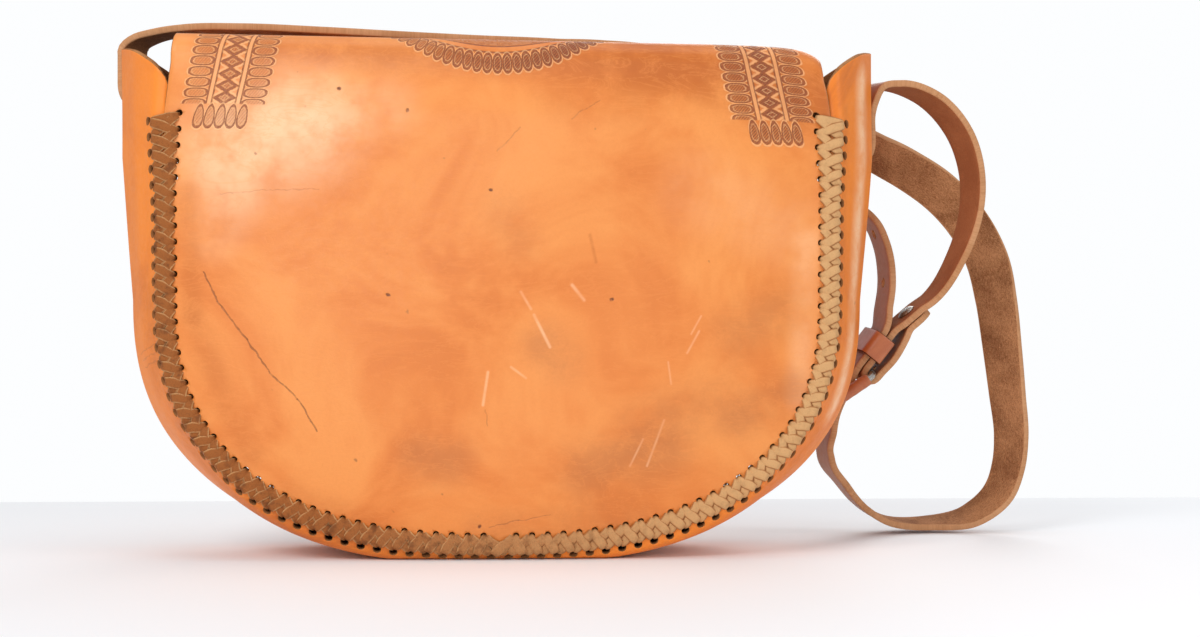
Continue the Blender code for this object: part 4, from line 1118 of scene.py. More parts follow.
@dataclass(frozen=True)
class TannedFinish:
    """Vegetable-tanned leather, waxed and worn, on its grain side."""

    name: str
    light: Colour
    middle: Colour
    dark: Colour
    roughness: float = 0.42
    coat: float = 0.25
    coat_roughness: float = 0.28
    bump: float = 0.25
    tooled: bool = False
    marks: tuple[Mark, ...] = ()
    patches: tuple[Patch, ...] = ()
    clouding: float = 1.0

    def material(self) -> bpy.types.Material:
        """Build the grain side's material.

        Returns:
            The material.
        """
        made, bench, shader = new_paint(self.name)
        place = bench.leather_place()
        grain = SHELF.place(bench, Effect.GRAIN, Place=place).outputs
        tone = bench.mix(bench.ease(grain["Clouds"], 0.36, 0.64), self.middle, self.light)
        tone = bench.stain(tone, self.dark, bench.ease(grain["Clouds"], 0.47, 0.3), 0.55 * self.clouding)
        broken = bench.ease(bench.noise(place, 0.05, 5.0, 0.65), 0.3, 0.62, 0.35, 1.0)
        # Patches tint the tone: some are stains and darker tone, others painted highlight and painted shade.
        for patch in self.patches:
            area = SHELF.line(bench, place, patch.start, patch.end, patch.reach).outputs["Soft"]
            tone = bench.stain(tone, patch.tint, bench.times(area, broken), patch.amount)
        tone = bench.stain(tone, self.light, grain["Veins"], 0.2)
        tone = bench.stain(tone, self.dark, bench.ease(bench.noise(place, 0.8, 3.0, 0.7), 0.35, 0.75), 0.1)
        tone = bench.stain(tone, PORE, grain["Pores"], 0.55)
        wear = bench.noise(place, 0.35, 3.0, 0.6)
        rough = bench.ease(wear, 0.25, 0.75, self.roughness - 0.05, self.roughness + 0.09)
        height = bench.less(bench.times(grain["Height"], 0.06), bench.times(grain["Veins"], 0.02))
        if self.tooled:
            tooling = SHELF.place(bench, Effect.TOOLING, Place=place).outputs
            press, rim, pebble = tooling["Press"], tooling["Rim"], tooling["Pebble"]
            grit = bench.noise(place, 0.9, 3.0, 0.7)
            tone = bench.mix(bench.times(press, bench.ease(grit, 0.25, 0.75, 0.66, 1.0)), tone, PRESSED)
            tone = bench.stain(tone, BURNISHED, rim, 0.5)
            tone = bench.stain(tone, PEBBLED, pebble, 0.5)
            rough = bench.add(rough, bench.times(press, 0.08))
            relief = bench.less(bench.times(rim, 0.25), bench.times(press, 0.75))
            relief = bench.add(relief, bench.times(pebble, 0.4))
            height = bench.add(height, bench.add(relief, bench.times(bench.times(press, grit), 0.22)))
        wander = self.wandering(bench, place)
        broken = bench.ease(wear, 0.32, 0.55, 0.45, 1.0)
        # Marks dent the bump; a scratch keeps its own dark, while in creases and pin holes the darkening is painted
        # shade.
        for mark in self.marks:
            line = SHELF.line(bench, wander, mark.start, mark.end, mark.width).outputs["Mask"]
            mask = bench.times(line, broken)
            tone = bench.stain(tone, MARK_DARK_AND_SHADE, mask, 0.75 * mark.depth)
            height = bench.less(height, bench.times(mask, 0.28 * mark.depth))
        looks = {"Base Color": tone, "Roughness": rough, "Normal": bench.raised(height, self.bump, 0.0012)}
        bench.join(shader, looks | {"Coat Weight": self.coat, "Coat Roughness": self.coat_roughness})
        bench.join(shader, {"Specular IOR Level": 0.4})
        return made

    @staticmethod
    def wandering(bench: NodeBench, place: object) -> bpy.types.NodeSocket:
        """A place shaken by a millimetre or so, which bends straight lines.

        Args:
            bench: the material's bench.
            place: the place.

        Returns:
            The shaken place.
        """
        shaken = bench.node("ShaderNodeTexNoise", {"Vector": place, "Scale": 0.16, "Detail": 3.0}).outputs["Color"]
        centred = bench.vector("SUBTRACT", shaken, (0.5, 0.5, 0.5))
        return bench.vector("ADD", place, bench.stretch(centred, 3.0, 3.0, 0.0))


@dataclass(frozen=True)
class NappedFinish:
    """The raw flesh side or cut edge of a leather."""

    name: str
    light: Colour
    dark: Colour
    bump: float
    stain: tuple[float, float] | None

    def material(self) -> bpy.types.Material:
        """Build the napped material.

        Returns:
            The material.
        """
        made, bench, shader = new_paint(self.name)
        place = bench.leather_place()
        nap = SHELF.place(bench, Effect.NAP, Place=place).outputs
        share = bench.add(bench.times(nap["Fibres"], 0.55), bench.times(nap["Blotches"], 0.4))
        share = bench.add(share, bench.times(bench.noise(place, 2.2, 2.0, 0.6), 0.35))
        tone = bench.mix(bench.ease(share, 0.5, 0.8), self.dark, self.light)
        if self.stain is not None:
            x, y = self.stain
            spot = SHELF.line(bench, place, (x, y), (x + 1.0, y + 3.0), 5.5).outputs["Mask"]
            tone = bench.mix(bench.times(spot, bench.ease(nap["Fibres"], 0.3, 0.6, 0.2, 0.75)), tone, BLOT)
        rough = bench.ease(nap["Fibres"], 0.3, 0.7, 0.78, 0.95)
        normal = bench.raised(nap["Height"], self.bump, 0.0008)
        bench.join(shader, {"Base Color": tone, "Roughness": rough, "Normal": normal, "Specular IOR Level": 0.12})
        return made


@dataclass(frozen=True)
class LaceFinish:
    """Raw lace, darkened by handling towards the bag's left and pale at its right; its edges carry a painted highlight
    at the left and painted shade at the right.
    """

    name: str
    pale: Colour
    brown: Colour
    dark: Colour

    def material(self) -> bpy.types.Material:
        """Build the lace's material.

        Returns:
            The material.
        """
        made, bench, shader = new_paint(self.name)
        place = bench.leather_place()
        where = bench.object_place()
        across = bench.parts(where)[0]
        tone = bench.mix(bench.ease(across, -90.0, 125.0), self.brown, self.pale)
        # The edges: a painted highlight towards the bag's left and painted shade towards its right.
        edge = bench.ease(bench.size(bench.parts(place)[0]), 1.45, 2.1)
        rim = bench.mix(bench.ease(across, -40.0, 60.0), self.pale, self.brown)
        tone = bench.stain(tone, rim, edge, 0.7)
        blots = bench.noise(where, 0.22, 3.0, 0.6)
        fibres = bench.noise(where, 1.6, 4.0, 0.7, 0.5)
        for pattern, start, left, right in ((blots, 0.5, 0.65, 0.15), (fibres, 0.45, 0.45, 0.12)):
            amount = bench.ease(across, -60.0, 90.0, left, right)
            tone = bench.stain(tone, self.dark, bench.ease(pattern, start, 0.7), amount)
        normal = bench.raised(bench.times(fibres, 0.8), 0.5, 0.0006)
        bench.join(shader, {"Base Color": tone, "Normal": normal, "Roughness": 0.75, "Specular IOR Level": 0.2})
        return made


@dataclass(frozen=True)
class MetalFinish:
    """Plated or plain metal hardware, scratched by use."""

    name: str
    bright: Colour
    dull: Colour
    roughness: float = 0.32

    def material(self) -> bpy.types.Material:
        """Build the metal's material; its pattern lies in the object's own space.

        Returns:
            The material.
        """
        made, bench, shader = new_paint(self.name)
        place = bench.object_place()
        cloud = bench.noise(place, 0.6, 4.0, 0.6)
        lines = bench.noise(bench.stretch(place, 0.25, 3.0, 0.6), 1.4, 3.0, 0.6)
        tone = bench.mix(bench.ease(cloud, 0.35, 0.7), self.bright, self.dull)
        rough = bench.ease(cloud, 0.3, 0.7, self.roughness - 0.06, self.roughness + 0.14)
        normal = bench.raised(lines, 0.15, 0.0002)
        bench.join(shader, {"Base Color": tone, "Roughness": rough, "Normal": normal, "Metallic": 1.0})
        return made


BACK_DEPTH = 44.0


def on_back(x: float, y: float) -> tuple[float, float]:
    """The place on the back leather, in millimetres, that a pixel of the picture shows.

    Args:
        x, y: the pixel.

    Returns:
        The place across the bag and up from the fold.
    """
    turn = math.atan((x - PHOTO_WIDTH / 2) / FOCAL_PIXELS) + VIEW_TURN
    reach = -CAMERA_PLACE.y / MM - BACK_DEPTH
    across = CAMERA_PLACE.x / MM + reach * math.tan(turn)
    tilt = reach / math.cos(turn) * math.cos(turn - VIEW_TURN)
    height = CAMERA_PLACE.z / MM + (PHOTO_HEIGHT / 2 - y) * tilt / FOCAL_PIXELS
    return across, height - FORM.fold_height - FORM.fold_slope * across


LONG_SCRATCH = ((202, 273), (218, 302), (246, 339), (269, 371), (298, 399), (317, 430))
FAINT_LINE = ((219, 194), (262, 191), (320, 189))
CURVED_SCRATCH = ((490, 528), (518, 522), (550, 515))
SMALL_MARKS = (((430, 42), (505, 68)), ((498, 152), (520, 128)), ((572, 118), (600, 100)), ((485, 410), (488, 425)))
# Pin holes: dents in the bump, with painted shade in them.
PIN_HOLES = ((491, 190), (480, 527), (338, 88), (407, 111), (612, 300), (388, 295))


# Each line's pixels, width in millimetres and depth.
LINES = (
    (LONG_SCRATCH, 0.5, 0.85),
    (FAINT_LINE, 0.3, 0.3),
    (CURVED_SCRATCH, 0.35, 0.45),
    *((line, 0.4, 0.35) for line in SMALL_MARKS),
    *(((spot, (spot[0] + 0.5, spot[1])), 0.95, 1.3) for spot in PIN_HOLES),
)


def back_marks() -> tuple[Mark, ...]:
    """The scratches, creases and pin holes of the worn back; the darkening in the pin holes and creases is painted
    shade.

    Returns:
        The marks, the larger ones first.
    """
    return tuple(
        Mark(on_back(*start), on_back(*end), width, depth)
        for line, width, depth in LINES
        for start, end in zip(line, line[1:])
    )


# Pale tint: painted highlight in the broad areas, and the own colour of the thin pale growth marks.
PALE_HIGHLIGHT_AND_MARK = colour(1.0, 0.58, 0.32)
# Deep tint: painted shade inside the left seam, and darker tone in the other bands and marks.
DEEP_SHADE_AND_TONE = colour(0.50, 0.12, 0.012)
BROWN = colour(0.46, 0.14, 0.035)
# Each area's first and last pixel, reach in millimetres, tint and amount: painted highlight at the upper left and
# inside the right seam, painted shade inside the left seam, darker bands along the top fold, brown mottled stains and
# thin pale growth marks.
AREAS = (
    # Painted highlight over the upper left of the back.
    ((235, 150), (300, 122), 38.0, PALE_HIGHLIGHT_AND_MARK, 0.85),
    ((300, 115), (390, 105), 20.0, PALE_HIGHLIGHT_AND_MARK, 0.3),
    ((215, 230), (240, 170), 20.0, PALE_HIGHLIGHT_AND_MARK, 0.3),
    ((700, 190), (790, 230), 26.0, PALE_HIGHLIGHT_AND_MARK, 0.18),
    # Painted highlight inside the right seam.
    ((808, 240), (800, 400), 9.0, PALE_HIGHLIGHT_AND_MARK, 0.3),
    ((210, 45), (560, 62), 12.0, DEEP_SHADE_AND_TONE, 0.65),
    ((600, 55), (815, 75), 20.0, DEEP_SHADE_AND_TONE, 1.0),
    ((560, 90), (640, 95), 20.0, DEEP_SHADE_AND_TONE, 0.3),
    ((745, 60), (785, 108), 14.0, BROWN, 0.6),
    # Painted shade where the panel rolls off towards the left seam.
    ((188, 190), (192, 320), 7.0, DEEP_SHADE_AND_TONE, 0.45),
    ((192, 320), (250, 455), 9.0, DEEP_SHADE_AND_TONE, 0.4),
    ((545, 345), (560, 360), 16.0, BROWN, 0.5),
    ((420, 455), (450, 460), 18.0, BROWN, 0.55),
    ((590, 470), (660, 450), 22.0, BROWN, 0.6),
    ((640, 430), (720, 400), 20.0, BROWN, 0.4),
    ((735, 335), (780, 310), 18.0, BROWN, 0.45),
    ((740, 420), (790, 390), 14.0, BROWN, 0.5),
    ((480, 530), (640, 520), 12.0, BROWN, 0.35),
    ((505, 210), (520, 240), 16.0, BROWN, 0.22),
    ((290, 500), (400, 540), 12.0, DEEP_SHADE_AND_TONE, 0.35),
    ((640, 50), (820, 100), 26.0, DEEP_SHADE_AND_TONE, 0.8),
    ((521, 292), (531, 309), 1.0, PALE_HIGHLIGHT_AND_MARK, 0.65),
    ((534, 315), (550, 347), 1.1, PALE_HIGHLIGHT_AND_MARK, 0.65),
    ((572, 285), (584, 300), 1.2, PALE_HIGHLIGHT_AND_MARK, 0.6),
    ((488, 372), (483, 405), 1.0, PALE_HIGHLIGHT_AND_MARK, 0.5),
    ((511, 367), (526, 378), 0.9, PALE_HIGHLIGHT_AND_MARK, 0.45),
    ((699, 331), (687, 353), 0.8, PALE_HIGHLIGHT_AND_MARK, 0.4),
    ((701, 316), (691, 334), 0.7, PALE_HIGHLIGHT_AND_MARK, 0.35),
    ((668, 362), (671, 384), 0.7, PALE_HIGHLIGHT_AND_MARK, 0.3),
    ((664, 420), (647, 466), 0.8, PALE_HIGHLIGHT_AND_MARK, 0.4),
    ((643, 439), (630, 466), 0.7, PALE_HIGHLIGHT_AND_MARK, 0.35),
    ((590, 235), (596, 262), 1.2, DEEP_SHADE_AND_TONE, 0.5),
)


def back_areas() -> tuple[Patch, ...]:
    """The paler and darker areas of the back: painted highlight, painted shade, darker tone and stains."""
    return tuple(Patch(on_back(*start), on_back(*end), *rest) for start, end, *rest in AREAS)


class Finishes:
    """All the materials, built once."""

    def __init__(self) -> None:
        """Build every finish."""
        amber = colour(0.82, 0.29, 0.066)
        tan = colour(0.73, 0.21, 0.036)
        russet = colour(0.55, 0.135, 0.02)
        # The back's marks and patches hold wear and stains, and also painted highlight and painted shade.
        worn = {"marks": back_marks(), "patches": back_areas(), "clouding": 0.5}
        self.back = TannedFinish(
            "tooled_back", amber, tan, russet, tooled=True, coat=0.08, bump=0.6, **worn
        ).material()
        self.front = TannedFinish("plain_front", amber, tan, russet).material()
        orange = (colour(0.88, 0.245, 0.022), colour(0.76, 0.19, 0.014), russet)
        # A painted highlight down the right ear's near face, and two darker bands on the gusset.
        highlight_and_dark_bands = (
            Patch((378.0, 505.0), (380.0, 650.0), 12.0, PALE_HIGHLIGHT_AND_MARK, 1.0),
            Patch((360.0, 560.0), (360.0, 640.0), 5.0, DEEP_SHADE_AND_TONE, 0.3),
            Patch((364.0, 110.0), (364.0, 330.0), 20.0, DEEP_SHADE_AND_TONE, 0.55),
        )
        # Wrinkles on the left of the gusset: dents in the bump with painted shade in them.
        creases = tuple(
            Mark((354.0 + k, 128.0 + 4.0 * k), (386.0 - 2 * k, 133.0 + 3.0 * k), 0.5, 0.3) for k in range(3)
        )
        folded = {"marks": creases, "patches": highlight_and_dark_bands}
        self.gusset = TannedFinish("folded_gusset", *orange, roughness=0.5, coat=0.02, **folded).material()
        self.flesh = self.napped("bag_flesh", (0.36, 0.16, 0.07), (0.14, 0.055, 0.022), 0.5)
        self.ear_flesh = self.napped("ear_suede", (0.34, 0.12, 0.04), (0.09, 0.03, 0.01), 0.9)
        self.edge = self.napped("bag_edge", (0.52, 0.24, 0.09), (0.24, 0.09, 0.03), 0.3)
        strap = (colour(0.40, 0.145, 0.056), colour(0.32, 0.105, 0.038), colour(0.19, 0.056, 0.02))
        self.strap_grain = TannedFinish("strap_grain", *strap, roughness=0.5, coat=0.05, bump=0.3).material()
        suede = ((0.56, 0.26, 0.115), (0.21, 0.075, 0.028), 0.8)
        self.strap_flesh = self.napped("strap_suede", *suede, stain=(4.0, 668.0))
        self.strap_edge = self.napped("strap_edge", (0.58, 0.30, 0.15), (0.46, 0.215, 0.095), 0.3)
        self.short_flesh = self.napped("smooth_flesh", (0.40, 0.145, 0.058), (0.29, 0.092, 0.034), 0.2)
        trim = (colour(0.52, 0.16, 0.055), colour(0.38, 0.095, 0.028), colour(0.20, 0.044, 0.012))
        self.trim = TannedFinish("buckle_leather", *trim, roughness=0.36, coat=0.3, bump=0.2).material()
        self.trim_edge = self.napped("keeper_edge", (0.22, 0.075, 0.03), (0.09, 0.028, 0.012), 0.2)
        lace = (colour(0.64, 0.36, 0.155), colour(0.33, 0.105, 0.024), colour(0.13, 0.04, 0.012))
        self.lace = LaceFinish("raw_lacing", *lace).material()
        self.nickel = MetalFinish("worn_nickel", colour(0.58, 0.55, 0.50), colour(0.30, 0.27, 0.24)).material()
        self.brass = MetalFinish("dull_brass_stud", colour(0.68, 0.48, 0.20), colour(0.42, 0.27, 0.10)).material()

    @staticmethod
    def napped(
        name: str,
        light: tuple[float, float, float],
        dark: tuple[float, float, float],
        bump: float,
        stain: tuple[float, float] | None = None,
    ) -> bpy.types.Material:
        """A napped finish from its colours' linear shares."""
        return NappedFinish(name, colour(*light), colour(*dark), bump, stain).material()

    def dress(self, piece: bpy.types.Object, *finishes: bpy.types.Material) -> None:
        """Give a leather the materials of its grain, flesh and edge, in this order."""
        for finish in finishes:
            piece.data.materials.append(finish)


# The bag's leathers


def skin_waves(x: Array, z: Array, seed: float) -> Array:
    """Unevenness of a panel that dies away at its seam, in millimetres."""
    calm = FORM.fold_height - 8.0
    return 0.6 * waves(x, z, seed) * (1.0 - FORM.near_seam(x, z) ** 4.0) * between(z, calm, calm - 30.0)


def u_panel(top_x: Array, top_z: Array, share: Array, rows: int) -> Array:
    """The grid of a whole panel inside its seam.

    Args:
        top_x, top_z: its top edge.
        share: the columns' places from -1 to 1.
        rows: how many rows.

    Returns:
        The grid's x and z, top row first.
    """
    top = np.stack([top_x, top_z], 1)
    bottom, width = FORM.seam_bottom + FORM.fit_gap, FORM.seam_half - FORM.fit_gap
    return u_patch(top, FORM.seam_at, bottom, width, (share + 1.0) / 2.0, np.linspace(0.0, 1.0, rows))


@dataclass
class TooledSkin:
    """The one leather that is the plain back and folds over the top to be the flap."""

    finishes: Finishes
    columns: int = 145
    back_rows: int = 96
    front_rows: int = 84
    droop: float = 6.5
    droop_from: float = 84.0
    sink_from: float = 170.0
    front_sunk: float = 204.0
    join: float = -31.0
    hinge: tuple[float, float, float] = (0.0, -41.0, 208.15)
    bend: float = 6.0
    slot_height: float = 59.55
    slot_size: tuple[float, float] = (12.5, 7.6)

    def droop_at(self, x: Array) -> Array:
        """How far the fold sinks near its free right corner."""
        near = between(x, self.droop_from, FORM.fold_half)
        return self.droop * (0.2 * near**2.0 + 0.8 * near**9.0)

    def sunk(self, x: Array, z: Array, whole: float) -> Array:
        """How far a place sinks, in full from a height on."""
        return self.droop_at(x) * between(z, self.sink_from, whole) ** 2.0

    def back_grid(self, share: Array) -> tuple[Array, Array]:
        """The plain back, bottom row first.

        Args:
            share: the columns' places from -1 to 1.

        Returns:
            Outer points, and places on the leather.
        """
        top_x = share * FORM.fold_half
        grid = u_panel(top_x, FORM.fold_height + FORM.fold_slope * top_x, share, self.back_rows)[::-1]
        x, z = grid[..., 0], grid[..., 1]
        y = -(FORM.half_depth + FORM.pillow(x, z) + skin_waves(x, z, 0.4))
        place = np.stack([x, z - FORM.fold_height - FORM.fold_slope * x], 2)
        return np.stack([x, y, z - self.sunk(x, z, FORM.fold_height)], 2), place

    def front_grid(self, share: Array, top_z: float, run: float) -> tuple[Array, Array]:
        """The flap down the front, top row first.

        Args:
            share: the columns' places from -1 to 1.
            top_z: height at which the flap starts to hang.
            run: length of leather from the back's fold line to there.

        Returns:
            Outer points, and places on the leather.
        """
        x_top = share * FORM.flap_half
        grid = u_patch(
            np.stack([x_top, top_z + FORM.fold_slope * x_top], 1),
            lambda z: np.full(np.shape(z), FORM.flap_half),
            FORM.flap_bottom,
            FORM.flap_half,
            (share + 1.0) / 2.0,
            np.linspace(0.0, 1.0, self.front_rows)[1:],
        )
        x, z = grid[..., 0], grid[..., 1]
        y = FORM.half_depth + FORM.pillow(x, z) + FORM.stand_off + FORM.panel_leather + skin_waves(x, z, 2.1)
        place = np.stack([x, run + (top_z + FORM.fold_slope * x) - z], 2)
        return np.stack([x, y, z - self.sunk(x, z, self.front_sunk)], 2), place

    def grid(self) -> tuple[Array, Array]:
        """The whole leather's outer points and places, from the back's foot to the flap's foot.

        Returns:
            Outer points, and places on the leather.
        """
        share = np.linspace(-1.0, 1.0, self.columns)
        section = FORM.flap_section()
        back, back_place = self.back_grid(share)
        start = np.array([-(FORM.half_depth + FORM.fold_swell), FORM.fold_height])
        run = run_along(np.concatenate([start[None], section]))[1:]
        width = np.linspace(FORM.fold_half, FORM.flap_half, len(section))
        x = share[None] * width[:, None]
        height = section[:, 1:] + FORM.fold_slope * x - self.droop_at(x)
        over = np.stack([x, np.broadcast_to(section[:, :1], x.shape), height], 2)
        over_place = np.stack([x, np.broadcast_to(run[:, None], x.shape)], 2)
        front, front_place = self.front_grid(share, float(section[-1, 1]), float(run[-1]))
        return np.concatenate([back, over, front]), np.concatenate([back_place, over_place, front_place])

    def build(self) -> bpy.types.Object:
        """Make the leather and cut its stud slot.

        Returns:
            The leather.
        """
        outer, place = self.grid()
        skin = LeatherSheet(outer, place, FORM.panel_leather, 1.0, 0.5).build("tooled_skin")
        self.finishes.dress(skin, self.finishes.back, self.finishes.flesh, self.finishes.edge)
        clear_cut(skin, slot_axes(Vector((0.0, FORM.half_depth + 10.0, self.slot_height))), *self.slot_size)
        return skin

    def part(self, piece: bpy.types.Object, side: int) -> None:
        """Cut the leather across on top of the bag.

        Args:
            piece: the whole leather.
            side: -1 to keep its back and 1 to keep its flap.
        """
        shape = bmesh.new()
        shape.from_mesh(piece.data)
        whole = [*shape.verts, *shape.edges, *shape.faces]
        middle = Vector((0.0, self.join, 0.0)) * MM
        away = (0.0, -side, 0.0)
        bmesh.ops.bisect_plane(shape, geom=whole, dist=1e-7, plane_co=middle, plane_no=away, clear_outer=True)
        rim = [edge for edge in shape.edges if edge.is_boundary]
        for edge in rim:
            edge.smooth = False
        for face in bmesh.ops.holes_fill(shape, edges=rim, sides=0)["faces"]:
            face.material_index = Face.EDGE.value
        shape.to_mesh(piece.data)
        shape.free()

    def mount(self, skin: bpy.types.Object) -> tuple[bpy.types.Object, bpy.types.Object]:
        """Cut the finished leather on top of the bag into its back and the rest, and let the rest ride the flap.

        Args:
            skin: the whole leather.

        Returns:
            Its back and its flap.
        """
        flap = skin.copy()
        flap.data = skin.data.copy()
        flap.name = flap.data.name = "tooled_flap"
        bpy.context.scene.collection.objects.link(flap)
        self.part(skin, -1)
        self.part(flap, 1)
        fold = Vector(self.hinge) * MM
        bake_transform(skin)
        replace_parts(skin, "back_panel")
        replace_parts(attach(flap, "flap"), "flap")
        return skin, flap


def slot_axes(centre: Vector) -> Matrix:
    """Axes of a slot that is long in Z and cut along Y.

    Args:
        centre: the slot's middle in millimetres.

    Returns:
        The axes.
    """
    axes = Matrix(((0.0, 1.0, 0.0), (0.0, 0.0, 1.0), (1.0, 0.0, 0.0))).to_4x4()
    axes.translation = centre
    return axes


@dataclass
class FrontPanel:
    """The plain panel under the flap."""

    finishes: Finishes
    columns: int = 121
    rows: int = 90
    screw_height: float = 62.0
    screw_hole: tuple[float, float] = (2.7, 2.6)

    def build(self) -> bpy.types.Object:
        """Make the panel with its screw hole.

        Returns:
            The panel.
        """
        share = np.linspace(-1.0, 1.0, self.columns)
        top_x = share * float(FORM.seam_at(np.array(FORM.front_top)))
        grid = u_panel(top_x, np.full(self.columns, FORM.front_top), share, self.rows)
        x, z = grid[..., 0], grid[..., 1]
        outer = np.stack([x, FORM.half_depth + FORM.pillow(x, z), z], 2)
        panel = LeatherSheet(outer, np.stack([x, z], 2), FORM.panel_leather, 1.0, 0.5).build("front_leather")
        self.finishes.dress(panel, self.finishes.front, self.finishes.flesh, self.finishes.edge)
        clear_cut(panel, slot_axes(Vector((0.0, FORM.half_depth + 6.0, self.screw_height))), *self.screw_hole)
        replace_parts(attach(panel, "bag"), "front_panel")
        return panel


@dataclass
class Gusset:
    """The folded strip round the sides and the floor, with an ear at each end."""

    finishes: Finishes
    columns: int = 67
    ear_rows: int = 26
    side_rows: int = 30
    arc_rows: int = 140
    soft: float = 5.0
    crease_soft: float = 2.2
    depth_of_fold: float = 22.0
    floor_angle: float = math.radians(14.0)
    side_angle: float = math.radians(62.0)
    unevenness: float = 0.35

    SIDE = ((0.0, 0.0), (0.0, 0.17), (0.07, 0.26), (0.42, 0.62), (1.0, 1.0))
    FLOOR = ((0.0, 0.0), (0.0, 0.5), (0.06, 0.88), (0.15, 1.0), (1.0, 1.0))

    def section(self, floor: float) -> Array:
        """The strip's path from seam to seam as (depth, outward) shares.

        Args:
            floor: 0 at the sides and 1 on the floor.

        Returns:
            One point a column.
        """
        half = np.array(self.SIDE) + (np.array(self.FLOOR) - np.array(self.SIDE)) * floor
        half[:, 0] -= 1.0
        full = np.concatenate([half, half[:-1][::-1] * np.array([-1.0, 1.0])])
        scale = np.array([FORM.half_depth, self.depth_of_fold])
        line = full * scale
        points = [line[0]]
        for before, here, after in zip(line, line[1:], line[2:]):
            back, on = before - here, after - here
            soft = self.crease_soft if abs(here[0]) < 1.0 else self.soft
            reach = [min(soft, 0.45 * float(np.linalg.norm(way))) for way in (back, on)]
            start = here + back / np.linalg.norm(back) * reach[0]
            end = here + on / np.linalg.norm(on) * reach[1]
            for t in np.linspace(0.0, 1.0, 7):
                points.append(start * (1 - t) ** 2 + here * 2 * t * (1 - t) + end * t * t)
        points.append(line[-1])
        return spread(np.array(points), np.linspace(0.0, 1.0, self.columns)) / scale

    def side_row(self, side: int, share: float, upper: bool) -> Array:
        """A row across an ear or a side.

        Args:
            side: -1 for the left and 1 for the right.
            share: the row's place from the row below to the top.
            upper: whether the row lies in the ear.

        Returns:
            The row's points.
        """
        depth, outward = self.section(0.0).T
        if upper:
            z = FORM.flare_top + (FORM.ear_top(outward) - FORM.flare_top) * share
        else:
            z = np.full(self.columns, FORM.corner + (FORM.flare_top - FORM.corner) * share)
        seam = FORM.seam_at(np.minimum(z, FORM.seam_top))
        drawn = (FORM.seam_at(z) - seam) * (1.0 - outward) ** 4.0
        x = seam + (FORM.crease_at(z) - seam) * outward + drawn
        return np.stack([side * x, depth * FORM.half_depth, z], 1)

    def arc_row(self, angle: float) -> Array:
        """A row across the rounded floor at an angle of the U.

        Args:
            angle: the angle.

        Returns:
            The row's points.
        """
        side = between(abs(angle - math.pi / 2), self.floor_angle, self.side_angle)
        depth, outward = self.section(1.0 - smooth(side)).T
        seam_x, seam_z = FORM.arc(np.array(angle), FORM.seam_half, FORM.seam_bottom)
        crease_x, crease_z = FORM.arc(np.array(angle), FORM.crease_half, -FORM.crease_undercut)
        crease_z = max(float(crease_z), 0.0)
        x = seam_x + (crease_x - seam_x) * outward
        z = seam_z + (crease_z - seam_z) * outward
        return np.stack([x, depth * FORM.half_depth, z], 1)

    def grid(self) -> Array:
        """All the rows, from the left ear's top round to the right ear's top.

        Returns:
            The rows' points.
        """
        ear = np.linspace(1.0, 0.0, self.ear_rows)
        flank = np.linspace(1.0, 0.0, self.side_rows)[1:]
        rows = [self.side_row(-1, share, True) for share in ear]
        rows += [self.side_row(-1, share, False) for share in flank]
        rows += [self.arc_row(angle) for angle in np.linspace(math.pi, 0.0, self.arc_rows)[1:-1]]
        rows += [self.side_row(1, share, False) for share in flank[::-1]]
        rows += [self.side_row(1, share, True) for share in ear[::-1]]
        return np.array(rows)

    def build(self) -> bpy.types.Object:
        """Make the strip; the ear rivets pass through it without holes cut for them.

        Returns:
            The strip.
        """
        outer = self.grid()
        run = run_along(outer[:, self.columns // 2])
        across = np.linspace(-48.0, 48.0, self.columns)
        place = np.stack(np.broadcast_arrays(across[None, :] + 400.0, run[:, None]), 2)
        fold = self.unevenness * waves(outer[..., 0] + outer[..., 1], outer[..., 2] * 1.4, 3.3)
        wall = np.abs(outer[..., 1]) < FORM.half_depth - 6.0
        high = outer[..., 2] > 12.0
        shift = np.zeros_like(outer)
        shift[..., 0] = fold * wall * high * np.sign(outer[..., 0])
        strip = LeatherSheet(outer + shift, place, FORM.gusset_leather, 1.0, 0.5).build("gusset_leather")
        self.finishes.dress(strip, self.finishes.gusset, self.finishes.ear_flesh, self.finishes.edge)
        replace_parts(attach(strip, "bag"), "gusset")
        return strip


# The lacing


class Ground:
    """The bag's finished outer leathers, felt for the surface under the lacing."""

    clear = 70.0

    def __init__(self, pieces: list[bpy.types.Object]) -> None:
        """Measure the pieces' faces once.

        Args:
            pieces: the leathers.
        """
        self.trees = []
        for piece in pieces:
            points = [corner.co / MM for corner in piece.data.vertices]
            faces = [tuple(face.vertices) for face in piece.data.polygons]
            self.trees.append(BVHTree.FromPolygons(points, faces))

    def feel(self, x: float, z: float, side: int) -> tuple[Vector, Vector]:
        """The outermost surface at a place.

        Args:
            x, z: the place.
            side: -1 to come from the back and 1 from the front.

        Returns:
            The point and its outward normal.
        """
        best, facing = None, None
        for tree in self.trees:
            start, way = Vector((x, side * self.clear, z)), Vector((0.0, -side, 0.0))
            spot, normal = tree.ray_cast(start, way, self.clear)[:2]
            if spot is not None and (best is None or side * spot.y > side * best.y):
                best, facing = spot, normal
        if best is None:
            return Vector((x, side * FORM.half_depth, z)), Vector((0.0, side, 0.0))
        if facing.y * side < 0:
            facing = -facing
        return best, facing


